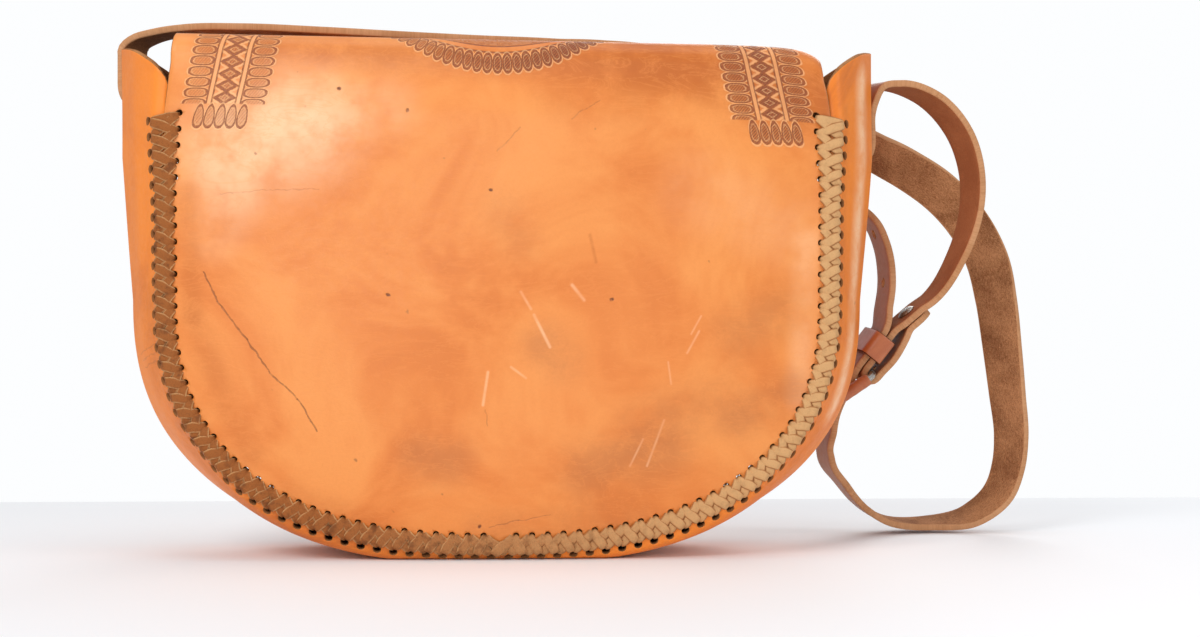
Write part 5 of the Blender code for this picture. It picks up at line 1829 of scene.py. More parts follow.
@dataclass
class Lacing:
    """Raw leather lace, crossed through two rows of holes over one seam."""

    finishes: Finishes
    ground: Ground
    side: int
    name: str
    node: str
    pitch: float = 6.7
    width: float = 4.5
    thickness: float = 0.9
    steps: int = 13
    inner_row: float = 3.7
    outer_row: float = 4.3
    inner_more: float = 2.6
    outer_more: float = 2.1
    widened: float = 5.0
    skew: float = 2.6
    dip_share: float = 0.17
    dip_depth: float = 1.25
    stand_off: float = 0.35
    under_lift: float = 0.1
    over_lift: float = 0.65
    tilt: float = 0.9
    wobble: float = 0.25
    end_lift: float = 0.25
    end_width: float = 3.5
    panel_hole: tuple[float, float] = (3.5, 2.7)
    gusset_hole: tuple[float, float] = (4.4, 3.5)
    hole_shift: float = 0.7
    even_hole: float = 3.2

    def seam(self) -> Array:
        """The seam in the x, z plane from the left top to the right top.

        Returns:
            One point a row.
        """
        z = np.linspace(FORM.seam_top, FORM.corner, 40)[:-1]
        x, low = FORM.arc(np.linspace(math.pi, 0.0, 400), FORM.seam_half, FORM.seam_bottom)
        left = np.stack([-FORM.seam_at(z), z], 1)
        right = np.stack([FORM.seam_at(z), z], 1)[::-1]
        return np.concatenate([left, np.stack([x, low], 1), right])

    def holes(self) -> tuple[Array, Array]:
        """The inner and outer rows of holes, in the x, z plane.

        Returns:
            The inner row and the outer row.
        """
        line = self.seam()
        run = run_along(line)
        count = int(run[-1] / self.pitch)
        count -= count % 2
        stops = (np.arange(count) + 0.5) * run[-1] / count
        place = sample(stops, run, line)
        along = unit(sample(stops + 2.0, run, line) - sample(stops - 2.0, run, line))
        outward = np.stack([along[:, 1], -along[:, 0]], 1)
        flip = np.sum(outward * (place - np.array([0.0, FORM.corner])), axis=1) < 0
        outward[flip] *= -1
        order = np.arange(count)
        end = np.minimum(order, count - 1 - order)
        wide = between(end, self.widened, 0.0)
        slant = self.skew * np.where(order < count / 2, 1.0, -1.0)
        inner = place - outward * (self.inner_row + self.inner_more * wide)[:, None] - along * slant[:, None]
        outer = place + outward * (self.outer_row + self.outer_more * wide)[:, None]
        return inner, outer

    def strip(self, start: Array, end: Array, lift: float, tilt: float, width: float) -> tuple:
        """One crossing of the lace from hole to hole.

        Args:
            start, end: the holes in the x, z plane.
            lift: extra height over the leather in the middle.
            tilt: how much higher the start lies than the end.
            width: the lace's width here.

        Returns:
            The strip's mesh arrays.
        """
        share = np.linspace(0.0, 1.0, self.steps)
        centres, facings = [], []
        for t in share:
            spot = start + (end - start) * t
            point, normal = self.ground.feel(float(spot[0]), float(spot[1]), self.side)
            dip = max(1.0 - min(t, 1.0 - t) / self.dip_share, 0.0)
            rise = self.thickness / 2 + lift * math.sin(math.pi * t) + tilt * (0.5 - t) + self.stand_off
            rise = rise * (1.0 - dip**2) - self.dip_depth * dip**2
            centres.append(point + normal * rise)
            facings.append(normal)
        centres = np.array(centres)
        centres[1:-1] = (centres[:-2] + 2 * centres[1:-1] + centres[2:]) / 4
        facing = np.array(facings)
        facing[1:-1] = (facing[:-2] + facing[1:-1] + facing[2:]) / 3
        along = unit(np.gradient(centres, axis=0))
        facing = square_to(facing, along)
        across = np.cross(facing, along)
        half, thick = self.width / 2, self.thickness / 2
        top = [(half * x, thick + 0.1 * (1.0 - x * x)) for x in (0.86, 0.4, 0.0, -0.4, -0.86)]
        low = [(-half * 0.86, -thick), (half * 0.86, -thick)]
        section = np.array([(half, 0.15), *top, (-half, 0.15), *low])
        narrow = width / self.width * (0.6 + 0.4 * np.sin(math.pi * share) ** 0.5)
        return Sweep(centres, across, facing, section, (0,) * len(section), narrow).arrays()

    def punches(self) -> tuple[list[Punch], list[Punch]]:
        """The holes of the panel and of the gusset.

        Returns:
            The panel's holes and the gusset's holes.
        """
        inner, outer = self.holes()
        panel = self.row_of_punches(inner, outer, -self.hole_shift, self.panel_hole)
        return panel, self.row_of_punches(outer, inner, self.hole_shift, self.gusset_hole)

    def row_of_punches(self, spots: Array, others: Array, shift: float, size: tuple[float, float]) -> list[Punch]:
        """The holes of one row, drawn out of round away from the lace.

        Args:
            spots: where the lace enters.
            others: where the lace goes on to.
            shift: how far each hole lies aside, towards the bag's foot.
            size: a hole's length and width.

        Returns:
            The row's holes.
        """
        row = []
        for spot, way in zip(spots, unit(others - spots)):
            aside = np.array([way[1], -way[0]]) * (shift if spot[0] > 0 else -shift)
            x, z = spot - way * (size[0] - self.even_hole) * 0.7 + aside
            centre, facing = self.ground.feel(float(x), float(z), self.side)
            row.append(Punch(centre, facing, Vector((way[0], 0.0, way[1])), *size))
        return row

    def build(self) -> bpy.types.Object:
        """Make the whole lacing of one seam.

        Returns:
            The lacing.
        """
        inner, outer = self.holes()
        first_and_last = ((inner[0], outer[0]), (outer[-1], inner[-1]))
        parts = [self.strip(*ends, self.end_lift, 0.0, self.end_width) for ends in first_and_last]
        for k in range(len(inner) - 1):
            start, stop = (k, k + 1) if k < len(inner) // 2 else (k + 1, k)
            wobble = self.wobble * math.sin(k * 2.3)
            parts.append(self.strip(inner[start], outer[stop], self.under_lift, self.tilt, self.width + wobble))
            parts.append(self.strip(outer[start], inner[stop], self.over_lift, self.tilt, self.width - wobble))
        lace = mesh_object(self.name, *gathered(parts))
        lace.data.materials.append(self.finishes.lace)
        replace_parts(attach(lace, "bag"), self.node)
        return lace


# Straps and buckle


@dataclass(frozen=True)
class BuckleForm:
    """The buckle's place and sizes in millimetres, in axes along, across and out of the strap."""

    origin: tuple[float, float, float] = (1.2015 * 140.0, 0.9185 * 38.0, 0.3535 * 219.0)
    along: tuple[float, float, float] = (0.61, 0.0, 0.793)
    across: tuple[float, float, float] = (-0.1, 0.99, 0.07)
    wire: float = 1.6
    prong_radius: float = 1.0
    cover: float = 2.8
    cover_wall: float = 0.85
    length: float = 22.0
    inside_width: float = 22.0
    corner: float = 3.4
    tilt: float = math.radians(19.0)
    rivet_station: float = 32.3
    lap_half: float = 4.6
    lap_out: float = 0.6
    lap_lean: float = 0.22
    lap_gap: float = 0.45
    fold_end: float = 39.6
    keeper_station: float = 11.3
    keeper_band: float = 12.0
    keeper_wall: float = 1.8

    def axes(self) -> Matrix:
        """The buckle's own axes."""
        return axes_at(Vector(self.origin), Vector(self.along), Vector(self.across))

    def direction(self) -> tuple[float, float]:
        """The frame's length direction as (along, out)."""
        return -math.cos(self.tilt), math.sin(self.tilt)

    def plane(self) -> Matrix:
        """The frame's plane: x from the hinge bar to the end bar, z out of its face.

        Returns:
            The axes.
        """
        axes = self.axes()
        run, rise = self.direction()
        along = (axes.col[0].to_3d() * run + axes.col[2].to_3d() * rise).normalized()
        return axes_at(axes.translation, along, -axes.col[1].to_3d())

    def stop(self, along: float, out: float) -> Stop:
        """A strap stop in the buckle's axes."""
        axes = self.axes()
        return axes @ Vector((along, 0.0, out)), axes.col[1].to_3d()

    def outline(self, steps: int) -> list[Vector]:
        """The frame's bar as a rounded rectangle in its own plane.

        Args:
            steps: parts of each corner's arc.

        Returns:
            Points along the bar's middle.
        """
        half = self.inside_width / 2 + self.cover
        corners = ((0.0, -half, 2), (self.length, -half, 3), (self.length, half, 0), (0.0, half, 1))
        points = []
        for x, y, quarter in corners:
            centre_x = x + math.copysign(self.corner, self.length / 2 - x)
            centre_y = y - math.copysign(self.corner, y)
            for k in range(steps + 1):
                angle = math.pi / 2 * (quarter + k / steps)
                turn = Vector((math.cos(angle), math.sin(angle), 0.0)) * self.corner
                points.append(Vector((centre_x, centre_y, 0.0)) + turn)
        return points

    def prong_line(self, share: float) -> float:
        """Height of the prong's finger over the frame's plane at a share of its length.

        Args:
            share: the share.

        Returns:
            The height in millimetres.
        """
        lift = FORM.fit_gap + self.prong_radius
        ring, rest = self.wire + lift, self.cover + lift
        return ring + (rest - ring) * min(max(share, 0.0), 1.0)


def axes_at(origin: Vector, along: Vector, across: Vector) -> Matrix:
    """Axes for a piece: x along, y across, z out of its face.

    Args:
        origin: their origin.
        along: the way of x.
        across: roughly the way of y.

    Returns:
        The axes.
    """
    x = along.normalized()
    z = x.cross(across).normalized()
    axes = Matrix((x, z.cross(x), z)).transposed().to_4x4()
    axes.translation = origin
    return axes


BUCKLE = BuckleForm()


@dataclass(frozen=True)
class StrapForm:
    """Where the two straps run, in shares of the bag's span, depth and height."""

    width: float = 20.0
    thickness: float = 3.0
    span: float = 140.0
    depth: float = 38.0
    height: float = 219.0
    over_top: tuple = (
        ((-1.1555, 0.292, 1.0075), (0.36, 0.93, 0.0)),
        ((-1.139, 0.268, 1.0185), (0.32, 0.94, 0.0)),
        ((-1.098, 0.262, 1.0315), (0.2, 0.98, 0.0)),
        ((-1.048, 0.237, 1.0395), (0.1, 1.0, 0.0)),
        ((-0.989, 0.21, 1.0445), (0.0, 1.0, 0.0)),
        ((-0.807, 0.21, 1.0475), (0.0, 1.0, 0.0)),
        ((-0.561, 0.237, 1.0425), (0.0, 1.0, 0.0)),
        ((-0.304, 0.316, 1.036), (0.0, 1.0, 0.0)),
        ((-0.071, 0.395, 1.031), (0.0, 1.0, 0.0)),
        ((0.175, 0.526, 1.028), (0.0, 1.0, 0.0)),
        ((0.319, 0.66, 1.024), (0.0, 0.99, -0.12)),
        ((0.47, 0.87, 1.012), (0.0, 0.93, -0.35)),
        ((0.643, 1.12, 0.985), (0.05, 0.75, -0.66)),
        ((0.821, 1.32, 0.94), (0.1, 0.4, -0.91)),
        ((1.0, 1.4, 0.895), (0.15, 0.2, -0.97)),
        ((1.143, 1.43, 0.853), (0.2, 0.45, -0.87)),
        ((1.261, 1.455, 0.82), (0.18, 0.6, -0.78)),
        ((1.372, 1.539, 0.785), (0.0, 0.5, -0.87)),
        ((1.482, 1.592, 0.739), (-0.45, 0.3, -0.84)),
        ((1.586, 1.645, 0.668), (-0.83, 0.2, -0.5)),
        ((1.65, 1.655, 0.59), (-0.92, 0.3, -0.2)),
        ((1.68, 1.66, 0.505), (-0.83, 0.55, 0.0)),
        ((1.702, 1.69, 0.405), (-0.73, 0.68, 0.0)),
        ((1.722, 1.724, 0.302), (-0.63, 0.77, 0.0)),
        ((1.737, 1.75, 0.21), (-0.55, 0.83, 0.05)),
        ((1.729, 1.775, 0.145), (-0.5, 0.86, 0.1)),
        ((1.7, 1.816, 0.089), (-0.42, 0.87, 0.2)),
        ((1.61, 1.895, 0.037), (-0.25, 0.93, 0.24)),
        ((1.469, 1.97, 0.0185), (-0.05, 0.98, 0.12)),
        ((1.321, 1.842, 0.0255), (0.0, 1.0, 0.03)),
        ((1.212, 1.632, 0.066), (0.0, 1.0, 0.0)),
        ((1.144, 1.474, 0.113), (-0.05, 1.0, 0.0)),
        ((1.094, 1.339, 0.155), (-0.12, 0.99, 0.0)),
        ((1.078, 1.208, 0.2), (-0.12, 0.99, 0.03)),
        ((1.083, 1.05, 0.238), (-0.1, 0.99, 0.05)),
    )
    tail: tuple = (
        ((1.262, 0.975, 0.488), (-0.12, 0.99, 0.05)),
        ((1.274, 1.024, 0.535), (-0.12, 0.99, 0.03)),
        ((1.273, 1.06, 0.58), (-0.12, 0.99, 0.0)),
        ((1.261, 1.103, 0.622), (-0.1, 0.99, 0.0)),
        ((1.236, 1.155, 0.662), (-0.1, 0.99, 0.0)),
        ((1.192, 1.208, 0.694), (-0.05, 1.0, 0.0)),
        ((1.121, 1.25, 0.715), (0.0, 1.0, 0.0)),
    )
    short_loop: tuple = (
        ((1.169, 0.318, 0.908), (-0.38, 0.925, 0.0)),
        ((1.196, 0.36, 0.938), (-0.4, 0.92, 0.0)),
        ((1.259, 0.411, 0.945), (-0.45, 0.89, 0.0)),
        ((1.382, 0.503, 0.922), (-0.4, 0.91, 0.0)),
        ((1.495, 0.616, 0.848), (-0.33, 0.94, 0.0)),
        ((1.54, 0.7, 0.76), (-0.27, 0.96, 0.0)),
        ((1.542, 0.76, 0.7), (-0.25, 0.97, 0.0)),
        ((1.5, 0.837, 0.6), (-0.2, 0.98, 0.0)),
        ((1.405, 0.892, 0.505), (-0.12, 0.99, 0.05)),
    )

    def route(self, shares: tuple[float, float, float], across: tuple[float, float, float]) -> Stop:
        """A stop from shares of the bag's size."""
        centre = Vector((shares[0] * self.span, shares[1] * self.depth, shares[2] * self.height))
        return centre, Vector(across).normalized()

    def ear_stop(self, side: int, height: float) -> Stop:
        """A strap end's centre on the far facet of an ear, and the way across it.

        Args:
            side: -1 for the left and 1 for the right.
            height: the centre's height.

        Returns:
            The stop.
        """
        seam = float(FORM.seam_at(np.array(FORM.seam_top)))
        crease = float(FORM.crease_at(np.array(FORM.flare_top)))
        inner = Vector((side * (seam + (crease - seam) * 0.62), 0.58 * FORM.half_depth, 0.0))
        corner = Vector((side * crease, 0.0, 0.0))
        across = (inner - corner).normalized()
        normal = Vector((side * abs(across.y), abs(across.x), 0.0))
        centre = corner + (inner - corner) * 0.5 + normal * (FORM.fit_gap + self.thickness / 2)
        centre.z = height
        return centre, across

    def wrap_radius(self) -> float:
        """Radius of the strap's middle round the buckle's bar."""
        return BUCKLE.wire + FORM.fit_gap + self.thickness / 2

    def tail_out(self) -> float:
        """How far the tail lies out beside the keeper."""
        return self.wrap_radius() + self.thickness + BUCKLE.lap_gap

    def lap_out(self, station: float) -> float:
        """How far the short strap's main layer lies out along its straight lap."""
        return BUCKLE.lap_out - BUCKLE.lap_lean * (station - BUCKLE.rivet_station)

    def under_bar(self, share: float, depth: float) -> Stop:
        """A stop in the frame's plane, a depth below its face.

        Args:
            share: the share of the frame's length.
            depth: how far it lies below the face.

        Returns:
            The stop.
        """
        run, rise = BUCKLE.direction()
        along = BUCKLE.length * share
        return BUCKLE.stop(run * along - rise * depth, rise * along + run * depth)

    def long_run(self) -> list[Stop]:
        """The long strap's stops, from the left ear to the tail's tip.

        Returns:
            The stops in order.
        """
        stops = [self.ear_stop(-1, 197.0 + 21.2 * share) for share in (0.0, 0.45, 0.85, 1.0)]
        stops += [self.route(*pair) for pair in self.over_top]
        below = (BUCKLE.cover + FORM.fit_gap + self.thickness / 2) * 1.22
        stops.append(self.under_bar(1.0, below))
        stops.append(self.under_bar(0.62, below * 0.05))
        stops.append(BUCKLE.stop(-BUCKLE.wire, self.tail_out()))
        stops += [BUCKLE.stop(BUCKLE.keeper_station * share, self.tail_out()) for share in (0.5, 1.0)]
        stops.append(BUCKLE.stop(BUCKLE.keeper_station * 1.75, self.tail_out() + FORM.fit_gap))
        stops += [self.route(*pair) for pair in self.tail]
        return stops

    def short_run(self) -> list[Stop]:
        """The short strap's stops, from the right ear round the buckle's bar and back.

        Returns:
            The stops in order.
        """
        stops = [self.ear_stop(1, 173.0 + 20.0 * share) for share in (0.0, 0.5, 1.0)]
        stops += [self.route(*pair) for pair in self.short_loop]
        reach = self.wrap_radius()
        lap = [BUCKLE.rivet_station + BUCKLE.lap_half * share for share in (-1.0, -0.5, 0.5, 1.0)]
        stops += [BUCKLE.stop(station, self.lap_out(station)) for station in reversed(lap)]
        main = ((2.05, 0.93), (1.6, 1.0), (1.0, 1.0), (0.25, 1.0), (0.0, 1.0))
        stops += [BUCKLE.stop(BUCKLE.keeper_station * place, reach * out) for place, out in main]
        for k in range(1, 6):
            angle = math.pi * k / 6
            stops.append(BUCKLE.stop(-reach * math.sin(angle), reach * math.cos(angle)))
        back = ((0.0, 1.0), (0.25, 1.05), (1.0, 1.3), (2.0, 0.87))
        stops += [BUCKLE.stop(BUCKLE.keeper_station * place, -reach * out) for place, out in back]
        for station in [*lap[:3], BUCKLE.fold_end]:
            stops.append(BUCKLE.stop(station, self.lap_out(station) - self.thickness - BUCKLE.lap_gap))
        return stops


STRAPS = StrapForm()


@dataclass
class StrapRun:
    """A strap's smooth path, with evenly close stations."""

    stops: list[Stop]
    pitch: float = 1.5
    tip: float = 8.0
    tip_width: float = 0.35
    even_from: float = 9.5
    round_off: float = 0.55
    inset: float = 0.16

    def stations(self) -> tuple[Array, Array]:
        """Points along the strap's middle and the unit way across it.

        Returns:
            The points and the ways.
        """
        points = [Vector(stop[0]) for stop in self.stops]
        points = [points[0] * 2 - points[1], *points, points[-1] * 2 - points[-2]]
        lengths = [(b - a).length for a, b in zip(points, points[1:])]
        slopes = []
        for k in range(1, len(points) - 1):
            before = (points[k] - points[k - 1]) / lengths[k - 1]
            after = (points[k + 1] - points[k]) / lengths[k]
            slopes.append((before * lengths[k] + after * lengths[k - 1]) / (lengths[k] + lengths[k - 1]))
        spots, ways = [], []
        for k in range(len(self.stops) - 1):
            a, b, length = points[k + 1], points[k + 2], lengths[k + 1]
            count = max(round(length / self.pitch), 1)
            for j in range(count):
                t = j / count
                spot = a + (b - a) * smooth(t)
                spot = spot + slopes[k] * (length * t * (1 - t) ** 2) - slopes[k + 1] * (length * t * t * (1 - t))
                spots.append(spot)
                ways.append(self.stops[k][1].lerp(self.stops[k + 1][1], t).normalized())
        spots.append(points[-2])
        ways.append(self.stops[-1][1])
        return np.array(spots), np.array(ways)

    def sweep(self) -> Sweep:
        """The strap as a swept section with rounded edges and rounded ends.

        Returns:
            The sweep.
        """
        spots, ways = self.stations()
        for _ in range(2):
            ways[1:-1] = (ways[:-2] + ways[1:-1] * 2 + ways[2:]) / 4
        run = run_along(spots)
        near = np.array([0.0, 0.25, 0.8, 1.7, 3.0, 4.6, 6.2, 8.0])
        stations = max(int((run[-1] - 2 * self.even_from) / self.pitch), 2)
        middle = np.linspace(self.even_from, run[-1] - self.even_from, stations)
        targets = np.concatenate([near, middle, run[-1] - near[::-1]])
        centres = sample(targets, run, spots)
        along = unit(np.gradient(centres, axis=0))
        across = square_to(sample(targets, run, ways), along)
        end = np.minimum(np.minimum(targets, targets[-1] - targets) / self.tip, 1.0)
        widths = self.tip_width + (1.0 - self.tip_width) * np.sqrt(1.0 - (1.0 - end) ** 2)
        section, slots = self.section()
        return Sweep(centres, across, np.cross(along, across), section, slots, widths)

    def section(self) -> tuple[Array, tuple[int, ...]]:
        """The strap's outline across, and the face slot of each of its sides.

        Returns:
            The outline and the slots.
        """
        half, thick, inset = STRAPS.width / 2, STRAPS.thickness / 2, self.inset
        count = 7
        flat = np.linspace(half - self.round_off, self.round_off - half, count)
        top = np.stack([flat, np.full(count, thick)], 1)
        low = np.stack([flat[::-1], np.full(count, -thick)], 1)
        upper = [(inset - half, thick - inset), (-half, thick - self.round_off)]
        left = np.array(upper + [(x, -z) for x, z in upper[::-1]])
        slots = []
        for face, sides in ((Face.GRAIN, 6), (Face.EDGE, 5), (Face.FLESH, 6), (Face.EDGE, 5)):
            slots += [face.value] * sides
        return np.concatenate([top, left, low, -left]), tuple(slots)


@dataclass
class Straps:
    """The long shoulder strap and the short strap that holds the buckle."""

    finishes: Finishes
    tail_holes: tuple[float, ...] = (25.0, 50.0)
    tail_hole: tuple[float, float] = (4.45, 4.4)
    tail_cut: float = 5.0
    prong_hole: tuple[float, float] = (10.0, 3.4)
    short_pitch: float = 1.2

    def punch_tail(self, strap: bpy.types.Object, sweep: Sweep) -> None:
        """Cut the round adjusting holes from the free end back.

        Args:
            strap: the long strap.
            sweep: its sweep.
        """
        run = run_along(sweep.centres)
        for back in self.tail_holes:
            k = int(np.searchsorted(run, run[-1] - back))
            along = Vector(sweep.centres[k] - sweep.centres[k - 1])
            axes = axes_at(Vector(sweep.centres[k]), along, Vector(sweep.across[k]))
            clear_cut(strap, axes, *self.tail_hole, self.tail_cut)

    def prong_gate(self, sweep: Sweep) -> Matrix:
        """Axes of the hole where the prong's finger passes through the long strap.

        Args:
            sweep: the long strap's sweep.

        Returns:
            The axes.
        """
        inverse = BUCKLE.plane().inverted()
        points = [inverse @ Vector(spot) for spot in sweep.centres]
        for k in range(len(points) - 1):
            start, end = points[k], points[k + 1]
            before = start.z - BUCKLE.prong_line(start.x / BUCKLE.length)
            after = end.z - BUCKLE.prong_line(end.x / BUCKLE.length)
            inside = 0.0 < start.x < BUCKLE.length and abs(start.y) < STRAPS.width
            if inside and before * after <= 0.0:
                spot = Vector(sweep.centres[k]).lerp(Vector(sweep.centres[k + 1]), before / (before - after))
                return axes_at(spot, Vector(sweep.centres[k + 1] - sweep.centres[k]), Vector(sweep.across[k]))
        return BUCKLE.plane()

    def build(self) -> tuple[bpy.types.Object, bpy.types.Object]:
        """Make both straps with their holes.

        Returns:
            The long strap and the short strap.
        """
        sweep = StrapRun(STRAPS.long_run()).sweep()
        long_strap = sweep.build("shoulder_strap")
        self.finishes.dress(long_strap, self.finishes.strap_grain, self.finishes.strap_flesh, self.finishes.strap_edge)
        self.punch_tail(long_strap, sweep)
        clear_cut(long_strap, self.prong_gate(sweep), *self.prong_hole, STRAPS.thickness)
        short = StrapRun(STRAPS.short_run(), pitch=self.short_pitch).sweep()
        short_strap = short.build("buckle_strap")
        self.finishes.dress(short_strap, self.finishes.strap_grain, self.finishes.short_flesh, self.finishes.strap_edge)
        reach = STRAPS.wrap_radius() + STRAPS.thickness / 2
        turn = Matrix.Translation((-FORM.fit_gap, 0.0, 0.0)) @ Matrix.Rotation(math.pi / 2, 4, "Y")
        slot = self.prong_hole[1]
        clear_cut(short_strap, BUCKLE.axes() @ turn, 2 * reach + slot, slot, reach)
        for strap, node in ((long_strap, "strap_long"), (short_strap, "strap_short")):
            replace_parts(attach(strap, "bag"), node)
        return long_strap, short_strap


@dataclass
class BuckleLeather:
    """The leather sewn round the buckle's bar, and the keeper band."""

    finishes: Finishes
    cover_stations: int = 90
    cover_turn: tuple[float, float] = (-84.0, 264.0)
    ripple_step: float = 0.9
    ripple: float = 0.04
    keeper_corner: float = 3.4
    keeper_seam: float = 0.25
    keeper_stations: int = 110
    keeper_round: float = 80.0
    keeper_bulge: float = 0.4

    def cover(self) -> bpy.types.Object:
        """Make the bar's wrapped cover, open along a thin seam underneath.

        Returns:
            The cover.
        """
        plane = BUCKLE.plane()
        line = [spot for spot in BUCKLE.outline(8) if spot.x >= BUCKLE.corner - 0.01]
        path = spread(np.array([tuple(spot) for spot in line]), np.linspace(0.0, 1.0, self.cover_stations))
        along = unit(np.gradient(path, axis=0))
        side = np.stack([along[:, 1], -along[:, 0], np.zeros(len(along))], 1)
        up = np.array([0.0, 0.0, 1.0])
        angles = np.radians(np.linspace(*self.cover_turn, 37))
        round_bar = side[:, None] * np.cos(angles)[None, :, None] + up * np.sin(angles)[None, :, None]
        outer = path[:, None] + BUCKLE.cover * round_bar
        ridge = np.sin(np.cumsum(np.full(len(path), self.ripple_step)))[:, None, None] * self.ripple
        outer = outer + (outer - path[:, None]) * ridge / BUCKLE.cover
        world = np.array([[(plane @ Vector(spot)) for spot in row] for row in outer])
        run = run_along(path)
        place = np.stack(np.broadcast_arrays(angles[None, :] * BUCKLE.cover, run[:, None]), 2)
        side_sign = sheet_side(world, world.mean(axis=1))
        made = LeatherSheet(world, place, BUCKLE.cover_wall, side_sign, 0.12, 3).build("bar_leather")
        self.finishes.dress(made, self.finishes.trim, self.finishes.strap_flesh, self.finishes.strap_edge)
        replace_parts(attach(made, "buckle"), "buckle_cover")
        return made

    def keeper(self) -> bpy.types.Object:
        """Make the keeper's band, with its ends meeting on the hidden face.

        Returns:
            The keeper.
        """
        axes = BUCKLE.axes()
        low = STRAPS.wrap_radius() - STRAPS.thickness / 2 - FORM.fit_gap - BUCKLE.keeper_wall
        high = STRAPS.tail_out() + STRAPS.thickness / 2 + FORM.fit_gap * 2 + BUCKLE.keeper_wall
        half = STRAPS.width / 2 + FORM.fit_gap * 3 + BUCKLE.keeper_wall
        radius = self.keeper_corner
        ring = [(self.keeper_seam, low)]
        for y, z, quarter in ((half, low, 3), (half, high, 0), (-half, high, 1), (-half, low, 2)):
            centre_y = y - math.copysign(radius, y)
            centre_z = z + radius if z == low else z - radius
            for k in range(9):
                angle = math.pi / 2 * (quarter + k / 8)
                ring.append((centre_y + radius * math.cos(angle), centre_z + radius * math.sin(angle)))
        ring.append((-self.keeper_seam, low))
        line = spread(np.array(ring), np.linspace(0.0, 1.0, self.keeper_stations))
        flat = BUCKLE.keeper_band - 2 * self.keeper_bulge
        station = np.linspace(-0.5, 0.5, 11) * flat + BUCKLE.keeper_station
        world = np.array([[axes @ Vector((s, y, z)) for y, z in line] for s in station])
        run = np.linspace(0.0, self.keeper_round, self.keeper_stations)
        place = np.stack(np.broadcast_arrays(station[:, None], run[None, :]), 2)
        middle = np.array(axes @ Vector((BUCKLE.keeper_station, 0.0, (low + high) / 2)))
        side = sheet_side(world, middle[None])
        made = LeatherSheet(world, place, BUCKLE.keeper_wall, side, self.keeper_bulge, 4).build("keeper_band")
        self.finishes.dress(made, self.finishes.trim, self.finishes.strap_flesh, self.finishes.trim_edge)
        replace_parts(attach(made, "keeper"), "strap_keeper")
        return made


def sheet_side(world: Array, centre: Array) -> float:
    """1 when a grid's own normals point away from its rows' centres, otherwise -1.

    Args:
        world: the grid's points.
        centre: a point inside each row.

    Returns:
        The sign.
    """
    normal = np.cross(np.gradient(world, axis=1), np.gradient(world, axis=0))
    away = world - centre[:, None]
    return 1.0 if float(np.sum(normal * away)) > 0 else -1.0


@dataclass
class Hardware:
    """The metal pieces that keep the model's own shapes."""

    finishes: Finishes
    nickel_nodes: tuple[str, ...] = (
        "buckle_frame",
        "buckle_prong",
        "buckle_rivet",
        "left_ear_rivet_1",
        "left_ear_rivet_2",
        "right_ear_rivet_1",
        "right_ear_rivet_2",
    )
    brass_nodes: tuple[str, ...] = ("closure_stud", "stud_screw")

    def build(self) -> list[bpy.types.Object]:
        """Give every metal node its worn finish.

        Returns:
            The metal pieces.
        """
        made = []
        for names, finish in ((self.nickel_nodes, self.finishes.nickel), (self.brass_nodes, self.finishes.brass)):
            for name in names:
                node = bpy.data.objects[name]
                for slot in node.material_slots:
                    slot.material = finish
                made.append(node)
        return made


# Studio


@dataclass(frozen=True)
class Lamp:
    """A soft area lamp that faces the bag."""

    name: str
    place: tuple[float, float, float]
    aim: tuple[float, float, float]
    size: float
    power: float

    def build(self) -> bpy.types.Object:
        """Make the lamp.

        Returns:
            The lamp.
        """
        data = bpy.data.lights.new(self.name, "AREA")
        data.shape = "DISK"
        data.size = self.size
        data.energy = self.power
        made = linked(self.name, data)
        made.location = self.place
        way = Vector(self.aim) - Vector(self.place)
        made.rotation_euler = way.to_track_quat("-Z", "Y").to_euler()
        return made


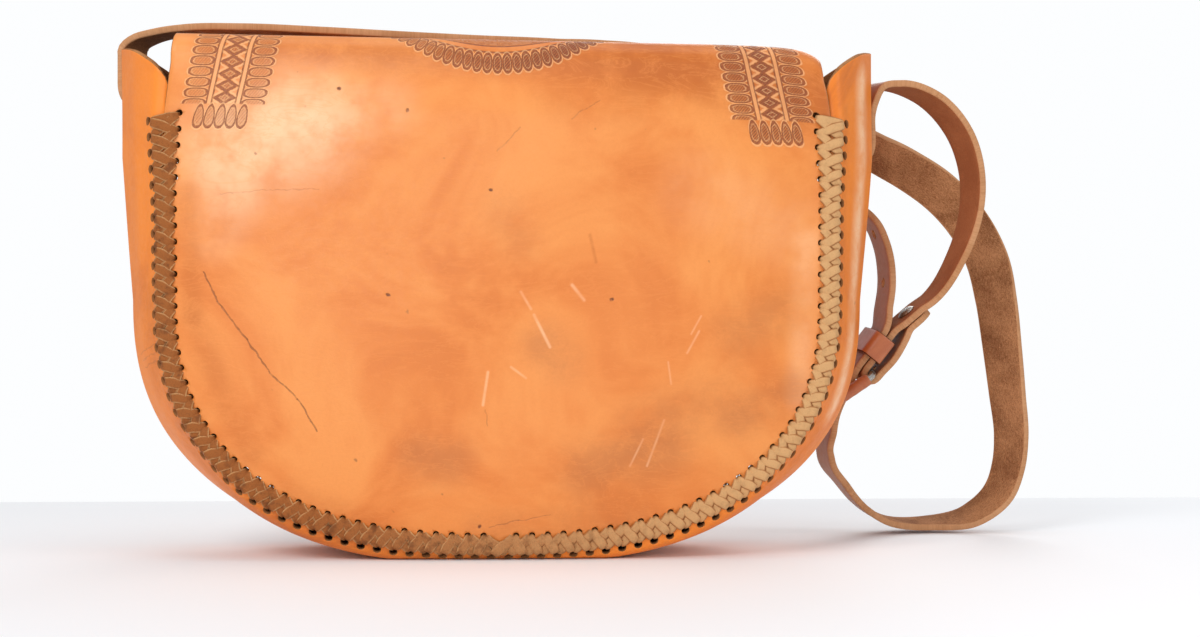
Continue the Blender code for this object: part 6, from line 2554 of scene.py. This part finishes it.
@dataclass
class Studio:
    """A pale floor under a white backdrop, soft lamps and the camera of the picture."""

    floor_half: float = 3.0
    floor_start: float = -1.6
    floor_end: float = 0.26
    lens: float = 64.0
    lamps: tuple[Lamp, ...] = (
        Lamp("key", (-0.75, -1.15, 1.05), (0.0, 0.0, 0.10), 0.8, 10.2),
        Lamp("gloss", (-0.26, -1.25, 0.32), (-0.05, 0.0, 0.14), 0.3, 2.4),
        Lamp("top", (0.05, -0.1, 1.5), (0.0, 0.0, 0.1), 1.0, 4.0),
        Lamp("fill", (1.3, -0.7, 0.5), (0.1, 0.0, 0.1), 0.5, 3.5),
        Lamp("back", (0.5, 1.3, 0.9), (0.1, 0.05, 0.1), 1.0, 6.0),
    )

    def floor(self) -> bpy.types.Object:
        """Make the pale floor with a far edge.

        Returns:
            The floor.
        """
        mesh = bpy.data.meshes.new("floor")
        half, start, end = self.floor_half, self.floor_start, self.floor_end
        edge = [(-half, start, 0.0), (half, start, 0.0), (half, end, 0.0), (-half, end, 0.0)]
        mesh.from_pydata(edge, [], [(0, 1, 2, 3)])
        made = linked("floor", mesh)
        paint, bench, shader = new_paint("floor_paint")
        bench.join(shader, {"Base Color": colour(0.92, 0.925, 0.935), "Roughness": 0.7})
        mesh.materials.append(paint)
        made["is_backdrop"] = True
        return made

    def world(self) -> None:
        """A white backdrop for the camera and soft light for everything else."""
        world = bpy.data.worlds.new("backdrop")
        bpy.context.scene.world = world
        world.use_nodes = True
        tree = world.node_tree
        tree.nodes.clear()
        bench = NodeBench(tree)
        seen = bench.node("ShaderNodeBackground", {"Color": colour(0.98, 0.99, 1.0), "Strength": 1.0})
        soft = bench.node("ShaderNodeBackground", {"Color": colour(0.93, 0.96, 1.0), "Strength": 0.54})
        path = bench.node("ShaderNodeLightPath")
        shares = {0: path.outputs["Is Camera Ray"], 1: soft.outputs[0], 2: seen.outputs[0]}
        both = bench.node("ShaderNodeMixShader", shares)
        bench.node("ShaderNodeOutputWorld", {0: both.outputs[0]})

    def camera(self) -> bpy.types.Object:
        """Make the camera that took the picture.

        Returns:
            The camera.
        """
        data = bpy.data.cameras.new("picture_camera")
        data.lens = self.lens
        data.sensor_width = 36.0
        data.sensor_fit = "HORIZONTAL"
        data.dof.use_dof = False
        made = linked("picture_camera", data)
        made.location = CAMERA_PLACE
        made.rotation_euler = (math.pi / 2, 0.0, -VIEW_TURN)
        bpy.context.scene.camera = made
        return made

    def build(self) -> None:
        """Set up the whole studio."""
        self.floor()
        self.world()
        for lamp in self.lamps:
            lamp.build()
        self.camera()
        bpy.context.scene.view_settings.view_transform = "Standard"


def main() -> None:
    """Build every sub-assembly in order."""
    logging.basicConfig(level=logging.INFO, format="%(name)s: %(message)s")
    finishes = Finishes()
    tooled = TooledSkin(finishes)
    skin, front, gusset = tooled.build(), FrontPanel(finishes).build(), Gusset(finishes).build()
    gusset_holes = []
    for side, name, node, panel in ((-1, "back_lacing", "back_lace", skin), (1, "front_lacing", "front_lace", front)):
        lacing = Lacing(finishes, Ground([panel, gusset]), side, name, node)
        lace = lacing.build()
        panel_holes, outer_holes = lacing.punches()
        gusset_holes += outer_holes
        pierce(panel, panel_holes)
        LOG.info("%s: %d points, %d holes", name, len(lace.data.vertices), 2 * len(panel_holes))
    pierce(gusset, gusset_holes)
    for piece in (*tooled.mount(skin), front, gusset):
        LOG.info("%s: %d points", piece.name, len(piece.data.vertices))
    for strap in Straps(finishes).build():
        LOG.info("%s: %d points", strap.name, len(strap.data.vertices))
    trim = BuckleLeather(finishes)
    for piece in (trim.cover(), trim.keeper()):
        LOG.info("%s: %d points", piece.name, len(piece.data.vertices))
    for node in Hardware(finishes).build():
        LOG.info("%s: worn metal", node.name)
    Studio().build()
    {"cad": CAD_BOX, "visual": corners(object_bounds())}


if __name__ == "__main__":
    main()
